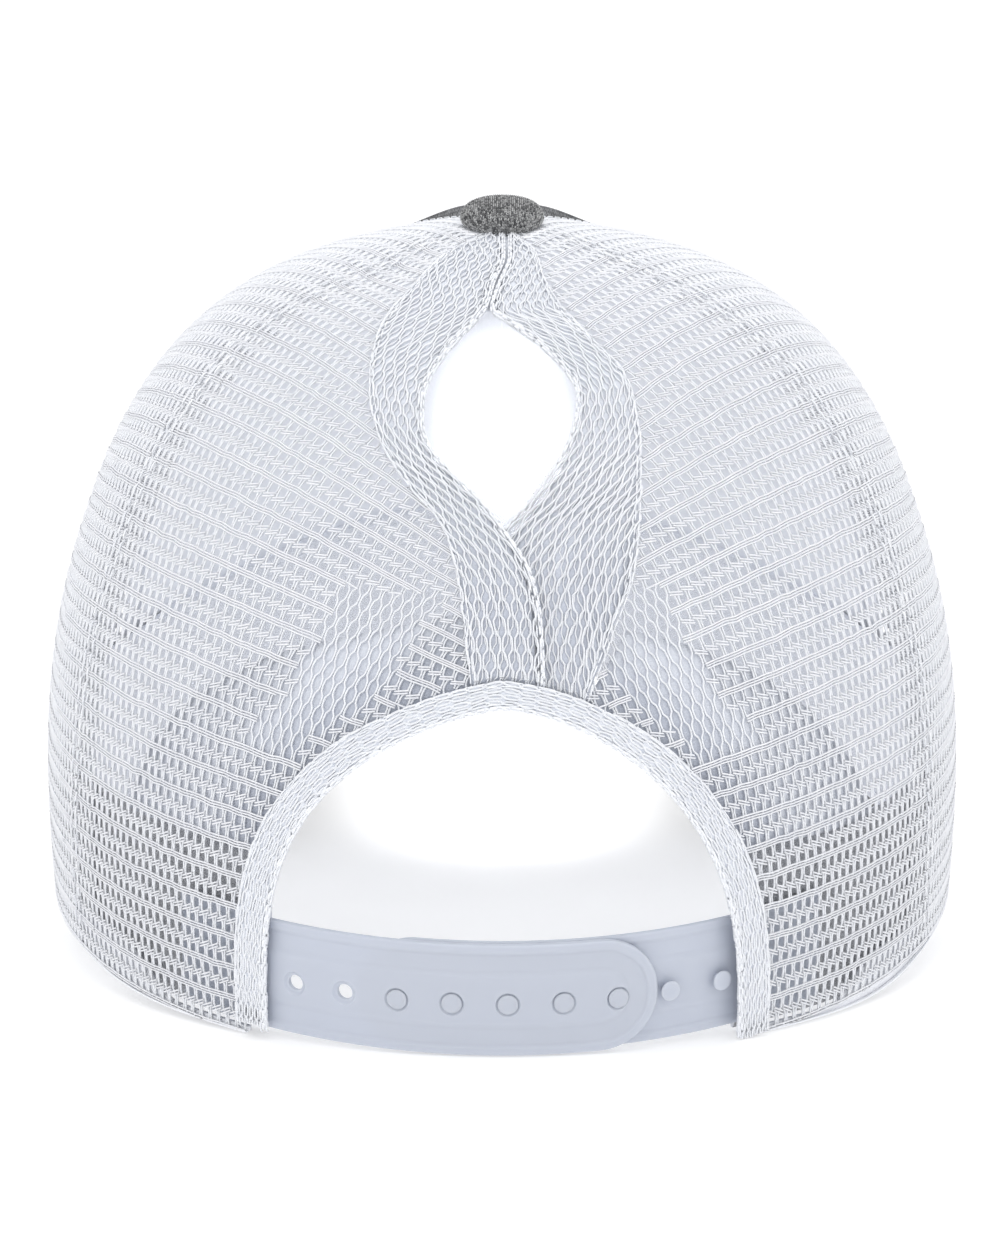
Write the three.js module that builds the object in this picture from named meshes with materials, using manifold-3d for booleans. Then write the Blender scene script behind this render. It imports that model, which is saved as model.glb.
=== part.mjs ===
// Six-panel trucker cap with a ponytail opening, resting on a flat surface.
// Millimetres, +Z up, visor towards -Y, snap strap towards +Y. Left is the wearer's left, +X.
// The cap is modelled on its rim plane and then tipped back onto its visor edges and its strap.
// A place on the crown is a turn (angle round from the middle of the back, positive to the left),
// a rise (angle up from the rim, 90 degrees at the button) and a depth in from the outer cloth.
import * as THREE from "three";
import { mergeVertices } from "three/addons/utils/BufferGeometryUtils.js";
import Module from "manifold-3d";

const { degToRad, clamp, lerp } = THREE.MathUtils;

// Crown
const RIM_HALF_WIDTH = 87.6;
const RIM_HALF_LENGTH = 100.5;
const RIM_POWER = 1.95;
const CROWN_HEIGHT = 126.5;
const PROFILE_POWER = { side: 2.79, back: 2.32, front: 2.34 };
const BELLY = 0.014;
const BELLY_TOP = 75;
const PEAK_HEIGHT = 3.8;
const PEAK_SPREAD = 22;
const TOP_RISE = degToRad(87.6);

// Panels and walls
const BACK_SEAM_TURN = degToRad(66);
const FRONT_SEAM_TURN = degToRad(120);
const NET_THICKNESS = 1.1;
const FRONT_THICKNESS = 2;
const BINDING_THICKNESS = 1.7;
const BINDING_PROUD = 0.6;
const PIECE_GAP = 0.3;
const PANEL_ROWS = 17;

// Arched opening over the strap: the edge of its two halves, and how far the binding reaches past it
const ARCH = {
  left: { turn: degToRad(28.9), rise: degToRad(29.1), turnPower: 1.45, risePower: 3.5 },
  right: { turn: degToRad(29), rise: degToRad(29.1), turnPower: 1.68, risePower: 2.7 },
};
const ARCH_BINDING = { turn: degToRad(4.3), rise: degToRad(2.3) };
const ARCH_GAP = degToRad(0.22);

// Ponytail opening: distances to the left of the middle, at each rise, of the edge of each net
// panel and of the free edge of each binding. Below the opening the left binding lies over the right.
const CENTRE_EDGES = [
  { rise: 28, leftPanel: 5.4, leftEdge: -7.5, rightEdge: 7, rightPanel: -15 },
  { rise: 34, leftPanel: 6.3, leftEdge: -7.3, rightEdge: 6.8, rightPanel: -19.5 },
  { rise: 38, leftPanel: 7.4, leftEdge: -6.4, rightEdge: 5.6, rightPanel: -22.9 },
  { rise: 41, leftPanel: 8.4, leftEdge: -4.4, rightEdge: 3.6, rightPanel: -24 },
  { rise: 44.4, leftPanel: 11, leftEdge: 0.2, rightEdge: -0.2, rightPanel: -24.5 },
  { rise: 47, leftPanel: 16, leftEdge: 4.3, rightEdge: -4.9, rightPanel: -24.7 },
  { rise: 50.8, leftPanel: 21.2, leftEdge: 11.7, rightEdge: -10.3, rightPanel: -24.8 },
  { rise: 54, leftPanel: 23.2, leftEdge: 13.9, rightEdge: -12.6, rightPanel: -24.5 },
  { rise: 57, leftPanel: 23.9, leftEdge: 13.7, rightEdge: -13.2, rightPanel: -23.2 },
  { rise: 60, leftPanel: 23.7, leftEdge: 12, rightEdge: -11.3, rightPanel: -20.6 },
  { rise: 64, leftPanel: 22.2, leftEdge: 8.5, rightEdge: -6.6, rightPanel: -16 },
  { rise: 67, leftPanel: 20.4, leftEdge: 5.4, rightEdge: -2.2, rightPanel: -13 },
  { rise: 70, leftPanel: 18, leftEdge: 2.8, rightEdge: 2.2, rightPanel: -10.6 },
  { rise: 75, leftPanel: 14, leftEdge: 1.2, rightEdge: 0.7, rightPanel: -7.8 },
  { rise: 80, leftPanel: 9.5, leftEdge: -0.6, rightEdge: -1.1, rightPanel: -6.4 },
  { rise: 88, leftPanel: 2, leftEdge: -0.6, rightEdge: -1.1, rightPanel: -2 },
];
const OVERLAP_DROP = BINDING_THICKNESS + PIECE_GAP;
const OVERLAP_SIDE = { from: -16, to: -9.5 };
const OVERLAP_RISE = { from: degToRad(45.2), to: degToRad(49) };
const BINDING_SIDE_GAP = 2.2;
const PROUD_END = { from: degToRad(80), to: degToRad(84.5) };

// Hollows and swells of the soft net: place, spread and how far it stands out (negative is a dent)
const SOFT_FORM = [
  { name: "hollow left above the arch", turn: 17, rise: 34, turnSpread: 9, riseSpread: 7, out: -2.4 },
  { name: "hollow right above the arch", turn: -18, rise: 33, turnSpread: 8, riseSpread: 7, out: -2.6 },
  { name: "hollow left of the button", turn: 58, rise: 73, turnSpread: 16, riseSpread: 6, out: -1.8 },
  { name: "crease right of the opening", turn: -26, rise: 54, turnSpread: 8, riseSpread: 2.6, out: -1.2 },
  { name: "swell left of the opening", turn: 42, rise: 47, turnSpread: 13, riseSpread: 12, out: 0.9 },
  { name: "swell right of the opening", turn: -44, rise: 46, turnSpread: 12, riseSpread: 12, out: 0.8 },
];

// The rim rises to the front and dips a little beside the strap
const FRONT_RIM_RISE = 14;
const FRONT_RIM_START = degToRad(112);
const RIM_DIPS = [
  { turn: degToRad(-54), turnSpread: degToRad(15), drop: 2.4 },
  { turn: degToRad(52), turnSpread: degToRad(13), drop: 1 },
];

// Visor
const VISOR_END_TURN = degToRad(123);
const VISOR_THICKNESS = 3;
const VISOR_SLOPE = Math.tan(degToRad(15));
const VISOR_BEND_RADIUS = 101;
const VISOR_OUTLINE = [
  { side: 77.5, forward: 57 },
  { side: 83.5, forward: 80 },
  { side: 82.5, forward: 108 },
  { side: 71, forward: 136 },
  { side: 43, forward: 157 },
  { side: 0, forward: 167 },
];

// Sweatband
const SWEATBAND_HEIGHT = 35;
const SWEATBAND_THICKNESS = 1.5;
const SWEATBAND_DEPTH = { front: 2.7, back: 4.9 };
const SWEATBAND_BACK = { from: degToRad(46), to: degToRad(64) };
const SWEATBAND_END_TURN = degToRad(31);

// Button
const BUTTON_RADIUS = 8;
const BUTTON_HEIGHT = 4.8;
const BUTTON_EDGE = 0.4;
const BUTTON_FULLNESS = 0.75;

// Snap strap. Places along it are arc lengths from the middle of the back, positive to the left
const STRAP_HEIGHT = 21.4;
const STRAP_BOTTOM = 1.5;
const STRAP_THICKNESS = 1.3;
const OUTER_STRAP_DEPTH = 1.5;
const INNER_STRAP_DEPTH = OUTER_STRAP_DEPTH + STRAP_THICKNESS + PIECE_GAP;
const OUTER_STRAP = { fixedEnd: 66, tip: -28.5 };
const INNER_STRAP = { fixedEnd: -67, tip: 26.5 };
const HOLE_HEIGHT = STRAP_BOTTOM + STRAP_HEIGHT / 2 - 0.7;
const HOLE_PITCH = 10;
const HOLE_COUNT = 7;
const FIRST_HOLE = 39;
const HOLE_RADIUS = 1.45;
const COUNTERSINK = { radius: 2.15, depth: 0.7 };
const FREE_HOLES = 2;
const FREE_PEG_PLACES = [-31, -41.7];
const PEG_STEM_RADIUS = 1.1;
const PEG_HEAD_RADIUS = 1.8;
const PEG_HEAD_BASE_DEPTH = 1.9;
const PEG_TOP_DEPTH = 0.8;

const COLOURS = {
  heather: { color: 0x65676b, roughness: 0.95, metalness: 0 },
  net: { color: 0xeef0f5, roughness: 0.6, metalness: 0 },
  sweatband: { color: 0x54575d, roughness: 0.95, metalness: 0 },
  strap: { color: 0xc8cfdc, roughness: 0.35, metalness: 0 },
};

const power = (value, exponent) => Math.pow(Math.max(value, 0), exponent);
const smooth = (value, from, to) => THREE.MathUtils.smoothstep((value - from) / (to - from), 0, 1);

// Value of one column of a table at a given place, by a smooth curve through its rows
function tableValue(table, placeColumn, column, place) {
  let row = 0;
  while (row < table.length - 2 && place > table[row + 1][placeColumn]) {
    row += 1;
  }
  const at = (index) => table[clamp(index, 0, table.length - 1)];
  const slope = (index) => {
    const [before, here, after] = [at(index - 1), at(index), at(index + 1)];
    const turnsBack = (here[column] - before[column]) * (after[column] - here[column]) <= 0;
    if (turnsBack) return 0;
    return (after[column] - before[column]) / (after[placeColumn] - before[placeColumn]);
  };
  const start = at(row);
  const end = at(row + 1);
  const length = end[placeColumn] - start[placeColumn];
  const t = clamp((place - start[placeColumn]) / length, 0, 1);
  const startPull = slope(row) * length * t * (1 - t) * (1 - t);
  const endPull = slope(row + 1) * length * t * t * (t - 1);
  const blend = t * t * (3 - 2 * t);
  return lerp(start[column], end[column], blend) + startPull + endPull;
}

// Smooth crown before its hollows and swells
function crownBase(turn, rise) {
  const side = Math.sin(turn);
  const back = Math.cos(turn);
  const oval = power(power(Math.abs(side), RIM_POWER) + power(Math.abs(back), RIM_POWER), -1 / RIM_POWER);
  const endPower = back > 0 ? PROFILE_POWER.back : PROFILE_POWER.front;
  const profile = PROFILE_POWER.side * side * side + endPower * back * back;
  const out = Math.cos(rise);
  const up = Math.sin(rise);
  const upSize = Math.abs(up);
  const reach = power(power(out, profile) + power(upSize, profile), -1 / profile);
  const height = CROWN_HEIGHT * up * reach;
  const belly = 1 + BELLY * Math.sin(Math.PI * clamp(height / BELLY_TOP, 0, 1));
  const x = RIM_HALF_WIDTH * oval * side * out * reach * belly;
  const y = RIM_HALF_LENGTH * oval * back * out * reach * belly;
  const peak = PEAK_HEIGHT * Math.exp(-(x * x + y * y) / (PEAK_SPREAD * PEAK_SPREAD));
  return new THREE.Vector3(x, y, height + peak);
}

function crownNormal(turn, rise) {
  const step = 1e-3;
  const alongTurn = crownBase(turn + step, rise).sub(crownBase(turn - step, rise));
  const alongRise = crownBase(turn, rise + step).sub(crownBase(turn, rise - step));
  return alongRise.cross(alongTurn).normalize();
}

function softForm(turn, rise) {
  return SOFT_FORM.reduce((sum, form) => {
    const across = (turn - degToRad(form.turn)) / degToRad(form.turnSpread);
    const upward = (rise - degToRad(form.rise)) / degToRad(form.riseSpread);
    return sum + form.out * Math.exp(-across * across - upward * upward);
  }, 0);
}

function crownPoint(turn, rise, depth) {
  const outward = softForm(turn, rise) - depth;
  return crownBase(turn, rise).addScaledVector(crownNormal(turn, rise), outward);
}

// Rise at which the crown has a given height, found by halving
function riseAtHeight(turn, height) {
  let low = degToRad(-5);
  let high = degToRad(60);
  for (let step = 0; step < 30; step += 1) {
    const middle = (low + high) / 2;
    if (crownBase(turn, middle).z < height) {
      low = middle;
    } else {
      high = middle;
    }
  }
  return (low + high) / 2;
}

// Turn at which the crown lies a given distance to the left of its middle plane
function turnAtSide(side, rise) {
  let low = degToRad(-80);
  let high = degToRad(80);
  for (let step = 0; step < 30; step += 1) {
    const middle = (low + high) / 2;
    if (crownBase(middle, rise).x < side) {
      low = middle;
    } else {
      high = middle;
    }
  }
  return (low + high) / 2;
}

// Height of the rim, for a turn between -180 and 180 degrees
function rimHeight(turn) {
  const forward = clamp((Math.abs(turn) - FRONT_RIM_START) / (Math.PI - FRONT_RIM_START), 0, 1);
  const front = (FRONT_RIM_RISE * (1 - Math.cos(Math.PI * forward))) / 2;
  return RIM_DIPS.reduce((height, dip) => {
    const away = (turn - dip.turn) / dip.turnSpread;
    return height - dip.drop * Math.exp(-away * away);
  }, front);
}

// Closed wall between an outer and an inner grid of points. pointAt(column, row, inner) takes
// column and row as shares from 0 to 1
function wall(columns, rows, pointAt) {
  const positions = [];
  const indices = [];
  const vertex = (column, row, inner) => ((inner ? rows + 1 : 0) + row) * (columns + 1) + column;
  for (const inner of [false, true]) {
    for (let row = 0; row <= rows; row += 1) {
      for (let column = 0; column <= columns; column += 1) {
        positions.push(...pointAt(column / columns, row / rows, inner).toArray());
      }
    }
  }
  const quad = (a, b, c, d) => indices.push(a, b, c, a, c, d);
  for (let row = 0; row < rows; row += 1) {
    for (let column = 0; column < columns; column += 1) {
      const corners = [[column, row], [column + 1, row], [column + 1, row + 1], [column, row + 1]];
      const [a, b, c, d] = corners.map(([x, y]) => vertex(x, y, false));
      const [e, f, g, h] = corners.map(([x, y]) => vertex(x, y, true));
      quad(a, b, c, d);
      quad(e, h, g, f);
    }
  }
  const rim = [];
  for (let column = 0; column < columns; column += 1) rim.push([column, 0]);
  for (let row = 0; row < rows; row += 1) rim.push([columns, row]);
  for (let column = columns; column > 0; column -= 1) rim.push([column, rows]);
  for (let row = rows; row > 0; row -= 1) rim.push([0, row]);
  rim.forEach(([column, row], index) => {
    const [nextColumn, nextRow] = rim[(index + 1) % rim.length];
    quad(
      vertex(column, row, true),
      vertex(nextColumn, nextRow, true),
      vertex(nextColumn, nextRow, false),
      vertex(column, row, false),
    );
  });
  return facingOut(positions, indices);
}

// The same turn between -180 and 180 degrees
const signed = (turn) => (turn > Math.PI ? turn - 2 * Math.PI : turn);

// Geometry whose faces are turned outward
function facingOut(positions, indices) {
  let volume = 0;
  const corner = (index) => new THREE.Vector3().fromArray(positions, indices[index] * 3);
  for (let index = 0; index < indices.length; index += 3) {
    volume += corner(index).dot(corner(index + 1).cross(corner(index + 2)));
  }
  if (volume < 0) indices.reverse();
  const geometry = new THREE.BufferGeometry();
  geometry.setAttribute("position", new THREE.Float32BufferAttribute(positions, 3));
  geometry.setIndex(indices);
  return geometry;
}

// Cloth panel between two edges, given as turns at each rise, over a list of rises
function panel(columns, rises, firstEdge, secondEdge, thickness) {
  return wall(columns, rises.length - 1, (column, row, inner) => {
    const rise = rises[Math.round(row * (rises.length - 1))];
    const turn = lerp(firstEdge(rise), secondEdge(rise), column);
    const floor = riseAtHeight(turn, rimHeight(turn));
    const lifted = floor + (rise * (TOP_RISE - floor)) / TOP_RISE;
    return crownPoint(turn, lifted, inner ? thickness : 0);
  });
}

// Turn that opens the gap between two pieces side by side at a rise
const gapTurn = (rise) => {
  const place = crownBase(BACK_SEAM_TURN, Math.min(rise, TOP_RISE));
  return PIECE_GAP / Math.hypot(place.x, place.y);
};

const evenRises = (from, to, count) =>
  Array.from({ length: count + 1 }, (_, index) => lerp(from, to, index / count));

// Arch curve, as the turn of its edge at a rise and as a point at an angle along it
const archTurn = (arch, rise) =>
  arch.turn * power(1 - power(rise / arch.rise, arch.risePower), 1 / arch.turnPower);
const archRise = (arch, turn) =>
  arch.rise * power(1 - power(Math.abs(turn) / arch.turn, arch.turnPower), 1 / arch.risePower);
const archRiseAt = (arch, angle) => arch.rise * power(Math.sin(angle), 2 / arch.risePower);
const archHalf = (sign) => (sign < 0 ? ARCH.right : ARCH.left);
const archOuter = (sign) => {
  const half = archHalf(sign);
  return { ...half, turn: half.turn + ARCH_BINDING.turn, rise: half.rise + ARCH_BINDING.rise };
};
const archPanelEdge = (sign) => {
  const outer = archOuter(sign);
  return { ...outer, turn: outer.turn + ARCH_GAP, rise: outer.rise + ARCH_GAP };
};

const centreTurn = (column, rise) =>
  turnAtSide(tableValue(CENTRE_EDGES, "rise", column, THREE.MathUtils.radToDeg(rise)), rise);

// Rise at which a centre edge meets the arch, by stepping up the arch curve
function meetingAngle(arch, column) {
  let low = 0;
  let high = Math.PI / 2;
  for (let step = 0; step < 30; step += 1) {
    const middle = (low + high) / 2;
    const rise = archRiseAt(arch, middle);
    if (archTurn(arch, rise) > Math.abs(centreTurn(column, rise))) {
      low = middle;
    } else {
      high = middle;
    }
  }
  return (low + high) / 2;
}

function backPanel(column, sign) {
  const edge = archPanelEdge(sign);
  const meeting = meetingAngle(edge, column);
  const meetingRise = archRiseAt(edge, meeting);
  const archSteps = 10;
  const upperSteps = 20;
  const lower = evenRises(0, meeting, archSteps).map((angle) => archRiseAt(edge, angle));
  const rises = [...lower, ...evenRises(meetingRise, TOP_RISE, upperSteps).slice(1)];
  const innerEdge = (rise) => {
    const onArch = rise <= meetingRise;
    if (onArch) return sign * archTurn(edge, rise);
    return centreTurn(column, rise) + sign * BINDING_SIDE_GAP * gapTurn(rise);
  };
  const seam = (rise) => sign * (BACK_SEAM_TURN - gapTurn(rise) / 2);
  return panel(9, rises, innerEdge, seam, NET_THICKNESS);
}

function sidePanel(sign) {
  const backSeam = (rise) => sign * (BACK_SEAM_TURN + gapTurn(rise) / 2);
  const frontSeam = (rise) => sign * (FRONT_SEAM_TURN - gapTurn(rise) / 2);
  return panel(6, evenRises(0, TOP_RISE, PANEL_ROWS), backSeam, frontSeam, NET_THICKNESS);
}

function frontPanel(sign) {
  const sideSeam = (rise) => sign * (FRONT_SEAM_TURN + gapTurn(rise) / 2);
  const middleSeam = (rise) => sign * (Math.PI - gapTurn(rise) / 2);
  return panel(7, evenRises(0, TOP_RISE, PANEL_ROWS), sideSeam, middleSeam, FRONT_THICKNESS);
}

// Binding along one side of the ponytail opening, ending on the arch binding. The right one sinks
// under the left one
function ponytailBinding(panelColumn, edgeColumn, drop) {
  const steps = 26;
  const endDeepening = 6;
  const sunk = (turn, rise) => {
    const side = crownBase(turn, rise).x;
    const across = smooth(side, OVERLAP_SIDE.from, OVERLAP_SIDE.to);
    return drop * across * (1 - smooth(rise, OVERLAP_RISE.from, OVERLAP_RISE.to));
  };
  const proud = (rise) => BINDING_PROUD * (1 - smooth(rise, PROUD_END.from, PROUD_END.to));
  const turnAt = (column, rise) =>
    lerp(centreTurn(panelColumn, rise), centreTurn(edgeColumn, rise), column);
  const top = archPanelEdge(1).rise;
  const feet = new Map();
  const footRise = (column) => {
    if (!feet.has(column)) {
      let rise = top;
      for (let step = 0; step < 6; step += 1) {
        const turn = turnAt(column, rise);
        rise = archRise(archPanelEdge(turn), turn) + ARCH_GAP;
      }
      feet.set(column, rise);
    }
    return feet.get(column);
  };
  return wall(5, steps, (column, row, inner) => {
    const level = lerp(top, TOP_RISE, row);
    const rise = level - (top - footRise(column)) * power(1 - row, endDeepening);
    const turn = turnAt(column, rise);
    return crownPoint(turn, rise, sunk(turn, rise) - proud(rise) + (inner ? BINDING_THICKNESS : 0));
  });
}

function archBinding() {
  const steps = 40;
  return wall(3, steps, (column, row, inner) => {
    const angle = Math.PI * row;
    const sign = Math.cos(angle) >= 0 ? 1 : -1;
    const edge = archHalf(sign);
    const outer = archOuter(sign);
    const turnShare = sign * power(Math.abs(Math.cos(angle)), 2 / edge.turnPower);
    const riseShare = power(Math.sin(angle), 2 / edge.risePower);
    const turn = turnShare * lerp(edge.turn, outer.turn, column);
    const rise = riseShare * lerp(edge.rise, outer.rise, column);
    return crownPoint(turn, rise, (inner ? BINDING_THICKNESS : 0) - BINDING_PROUD);
  });
}

function sweatband() {
  const around = 2 * (Math.PI - SWEATBAND_END_TURN);
  return wall(56, 3, (column, row, inner) => {
    const signedTurn = signed(SWEATBAND_END_TURN + around * column);
    const backShare = 1 - smooth(Math.abs(signedTurn), SWEATBAND_BACK.from, SWEATBAND_BACK.to);
    const depth = lerp(SWEATBAND_DEPTH.front, SWEATBAND_DEPTH.back, backShare);
    const rise = riseAtHeight(signedTurn, rimHeight(signedTurn) + SWEATBAND_HEIGHT * row);
    return crownPoint(signedTurn, rise, depth + (inner ? SWEATBAND_THICKNESS : 0));
  });
}

// Height of the bent visor over a place in the rim plane
const visorBend = (x, y) =>
  FRONT_RIM_RISE + (y + RIM_HALF_LENGTH) * VISOR_SLOPE - (x * x) / (2 * VISOR_BEND_RADIUS);

function visor() {
  const half = VISOR_OUTLINE.map((row) => new THREE.Vector3(row.side, -row.forward, 0));
  const mirrored = half.slice(0, -1).reverse().map((point) => point.clone().setX(-point.x));
  const outline = new THREE.CatmullRomCurve3([...half, ...mirrored], false, "centripetal");
  outline.arcLengthDivisions = 400;
  const span = 2 * (Math.PI - VISOR_END_TURN);
  return wall(28, 7, (column, row, inner) => {
    const signedTurn = signed(VISOR_END_TURN + span * column);
    const edgeRise = riseAtHeight(signedTurn, rimHeight(signedTurn));
    const start = crownPoint(signedTurn, edgeRise, FRONT_THICKNESS);
    const end = outline.getPointAt(column);
    const x = lerp(start.x, end.x, row);
    const y = lerp(start.y, end.y, row);
    const seamHeight = rimHeight(signedTurn) - PIECE_GAP;
    const z = seamHeight + visorBend(x, y) - visorBend(start.x, start.y);
    const normal = new THREE.Vector3(x / VISOR_BEND_RADIUS, -VISOR_SLOPE, 1).normalize();
    return new THREE.Vector3(x, y, z).addScaledVector(normal, inner ? -VISOR_THICKNESS : 0);
  });
}

function button() {
  const heightAt = (radius) => {
    const spread = radius / PEAK_SPREAD;
    return CROWN_HEIGHT + PEAK_HEIGHT * Math.exp(-spread * spread) + PIECE_GAP;
  };
  const hollowSteps = 3;
  const profile = [new THREE.Vector2(0, heightAt(0))];
  for (let step = 1; step <= hollowSteps; step += 1) {
    const radius = ((BUTTON_RADIUS - BUTTON_EDGE) * step) / hollowSteps;
    profile.push(new THREE.Vector2(radius, heightAt(radius)));
  }
  const edge = heightAt(BUTTON_RADIUS) + BUTTON_EDGE;
  const domeSteps = 6;
  for (let step = 0; step < domeSteps; step += 1) {
    const angle = ((step / domeSteps) * Math.PI) / 2;
    const radius = BUTTON_RADIUS * power(Math.cos(angle), BUTTON_FULLNESS);
    profile.push(new THREE.Vector2(radius, edge + BUTTON_HEIGHT * Math.sin(angle)));
  }
  profile.push(new THREE.Vector2(0, edge + BUTTON_HEIGHT));
  const lathe = new THREE.LatheGeometry(profile, 20);
  lathe.rotateX(Math.PI / 2);
  lathe.deleteAttribute("normal");
  lathe.deleteAttribute("uv");
  const merged = mergeVertices(lathe, 1e-4);
  return withoutSlivers(merged);
}

// The same geometry without triangles that use a vertex twice
function withoutSlivers(geometry) {
  const kept = [];
  const index = geometry.getIndex().array;
  for (let face = 0; face < index.length; face += 3) {
    const [a, b, c] = [index[face], index[face + 1], index[face + 2]];
    if (a !== b && b !== c && c !== a) kept.push(a, b, c);
  }
  return facingOut([...geometry.getAttribute("position").array], kept);
}

// Arc lengths round the back at strap height, so that places on the strap are true distances
const strapRise = riseAtHeight(0, STRAP_BOTTOM + STRAP_HEIGHT / 2);
const strapArc = [];
for (let step = -140; step <= 140; step += 1) {
  const turn = degToRad(step / 2);
  const point = crownPoint(turn, strapRise, OUTER_STRAP_DEPTH);
  const last = strapArc.at(-1);
  strapArc.push({ turn, point, length: last ? last.length + point.distanceTo(last.point) : 0 });
}
const strapMiddle = strapArc[140].length;

function turnAtArc(length) {
  const wanted = length + strapMiddle;
  const next = strapArc.findIndex((entry) => entry.length >= wanted);
  const after = strapArc[next];
  const before = strapArc[next - 1];
  return lerp(before.turn, after.turn, (wanted - before.length) / (after.length - before.length));
}

function strapPoint(length, height, depth) {
  const turn = turnAtArc(length);
  return crownPoint(turn, riseAtHeight(turn, height), depth);
}

// Plain strap from its fixed end to its round tip
function strapBody(ends, depth) {
  const direction = Math.sign(ends.tip - ends.fixedEnd);
  const roundStart = ends.tip - (direction * STRAP_HEIGHT) / 2;
  const straightSteps = 20;
  const roundSteps = 6;
  const lastRoundAngle = degToRad(84);
  const stations = evenRises(ends.fixedEnd, roundStart, straightSteps);
  for (let step = 1; step <= roundSteps; step += 1) {
    const angle = (step / roundSteps) * lastRoundAngle;
    stations.push(roundStart + (direction * STRAP_HEIGHT * Math.sin(angle)) / 2);
  }
  return wall(stations.length - 1, 2, (column, row, inner) => {
    const station = stations[Math.round(column * (stations.length - 1))];
    const past = Math.max(0, (station - roundStart) * direction) / (STRAP_HEIGHT / 2);
    const halfHeight = (STRAP_HEIGHT / 2) * Math.sqrt(1 - past * past);
    const middle = STRAP_BOTTOM + STRAP_HEIGHT / 2;
    const height = middle + (row * 2 - 1) * halfHeight;
    return strapPoint(station, height, depth + (inner ? STRAP_THICKNESS : 0));
  });
}

const wasm = await Module();
wasm.setup();

function solid(geometry) {
  const bare = geometry.clone();
  bare.deleteAttribute("normal");
  bare.deleteAttribute("uv");
  const merged = mergeVertices(bare, 1e-4);
  return new wasm.Manifold(new wasm.Mesh({
    numProp: 3,
    vertProperties: new Float32Array(merged.getAttribute("position").array),
    triVerts: new Uint32Array(merged.getIndex().array),
  }));
}

function geometryOf(manifold) {
  const mesh = manifold.getMesh();
  const geometry = new THREE.BufferGeometry();
  geometry.setAttribute("position", new THREE.Float32BufferAttribute(mesh.vertProperties, 3));
  geometry.setIndex([...mesh.triVerts]);
  return geometry;
}

// Round bar across the strap, from one depth out to another, through radii given at depths
function strapBar(length, stations) {
  const turn = turnAtArc(length);
  const rise = riseAtHeight(turn, HOLE_HEIGHT);
  const normal = crownNormal(turn, rise);
  const deepest = stations[0].depth;
  const profile = [new THREE.Vector2(0, 0)];
  for (const station of stations) {
    profile.push(new THREE.Vector2(station.radius, deepest - station.depth));
  }
  profile.push(new THREE.Vector2(0, deepest - stations.at(-1).depth));
  const bar = new THREE.LatheGeometry(profile, 10);
  bar.deleteAttribute("normal");
  bar.deleteAttribute("uv");
  const whole = withoutSlivers(mergeVertices(bar, 1e-4));
  whole.applyQuaternion(new THREE.Quaternion().setFromUnitVectors(new THREE.Vector3(0, 1, 0), normal));
  const foot = crownPoint(turn, rise, deepest);
  whole.translate(foot.x, foot.y, foot.z);
  return whole;
}

const holePlaces = Array.from({ length: HOLE_COUNT }, (_, index) => FIRST_HOLE - HOLE_PITCH * index);
const pegPlaces = [...holePlaces.slice(FREE_HOLES), ...FREE_PEG_PLACES];

function strapWithHoles() {
  const floor = OUTER_STRAP_DEPTH + COUNTERSINK.depth;
  const hole = [
    { radius: HOLE_RADIUS, depth: OUTER_STRAP_DEPTH + STRAP_THICKNESS + 1 },
    { radius: HOLE_RADIUS, depth: floor },
    { radius: COUNTERSINK.radius, depth: floor },
    { radius: COUNTERSINK.radius, depth: OUTER_STRAP_DEPTH - 1 },
  ];
  const body = solid(strapBody(OUTER_STRAP, OUTER_STRAP_DEPTH));
  return geometryOf(holePlaces.reduce((rest, place) => rest.subtract(solid(strapBar(place, hole))), body));
}

function strapWithPegs() {
  const peg = [
    { radius: PEG_STEM_RADIUS, depth: INNER_STRAP_DEPTH + STRAP_THICKNESS / 2 },
    { radius: PEG_STEM_RADIUS, depth: PEG_HEAD_BASE_DEPTH },
    { radius: PEG_HEAD_RADIUS, depth: PEG_HEAD_BASE_DEPTH },
    { radius: PEG_HEAD_RADIUS, depth: PEG_TOP_DEPTH + 0.4 },
    { radius: PEG_HEAD_RADIUS * 0.7, depth: PEG_TOP_DEPTH },
  ];
  const body = solid(strapBody(INNER_STRAP, INNER_STRAP_DEPTH));
  return geometryOf(pegPlaces.reduce((rest, place) => rest.add(solid(strapBar(place, peg))), body));
}

function part(name, geometry, look) {
  const mesh = new THREE.Mesh(geometry, new THREE.MeshStandardMaterial(look));
  mesh.name = name;
  return mesh;
}

const cap = new THREE.Group();
cap.add(
  part("front_panel_left", frontPanel(1), COLOURS.heather),
  part("front_panel_right", frontPanel(-1), COLOURS.heather),
  part("side_mesh_left", sidePanel(1), COLOURS.net),
  part("side_mesh_right", sidePanel(-1), COLOURS.net),
  part("back_mesh_left", backPanel("leftPanel", 1), COLOURS.net),
  part("back_mesh_right", backPanel("rightPanel", -1), COLOURS.net),
  part("ponytail_binding_left", ponytailBinding("leftPanel", "leftEdge", 0), COLOURS.net),
  part("ponytail_binding_right", ponytailBinding("rightPanel", "rightEdge", OVERLAP_DROP), COLOURS.net),
  part("arch_binding", archBinding(), COLOURS.net),
  part("button", button(), COLOURS.heather),
  part("visor", visor(), COLOURS.heather),
  part("sweatband", sweatband(), COLOURS.sweatband),
  part("strap_holes", strapWithHoles(), COLOURS.strap),
  part("strap_pegs", strapWithPegs(), COLOURS.strap),
);

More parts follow.
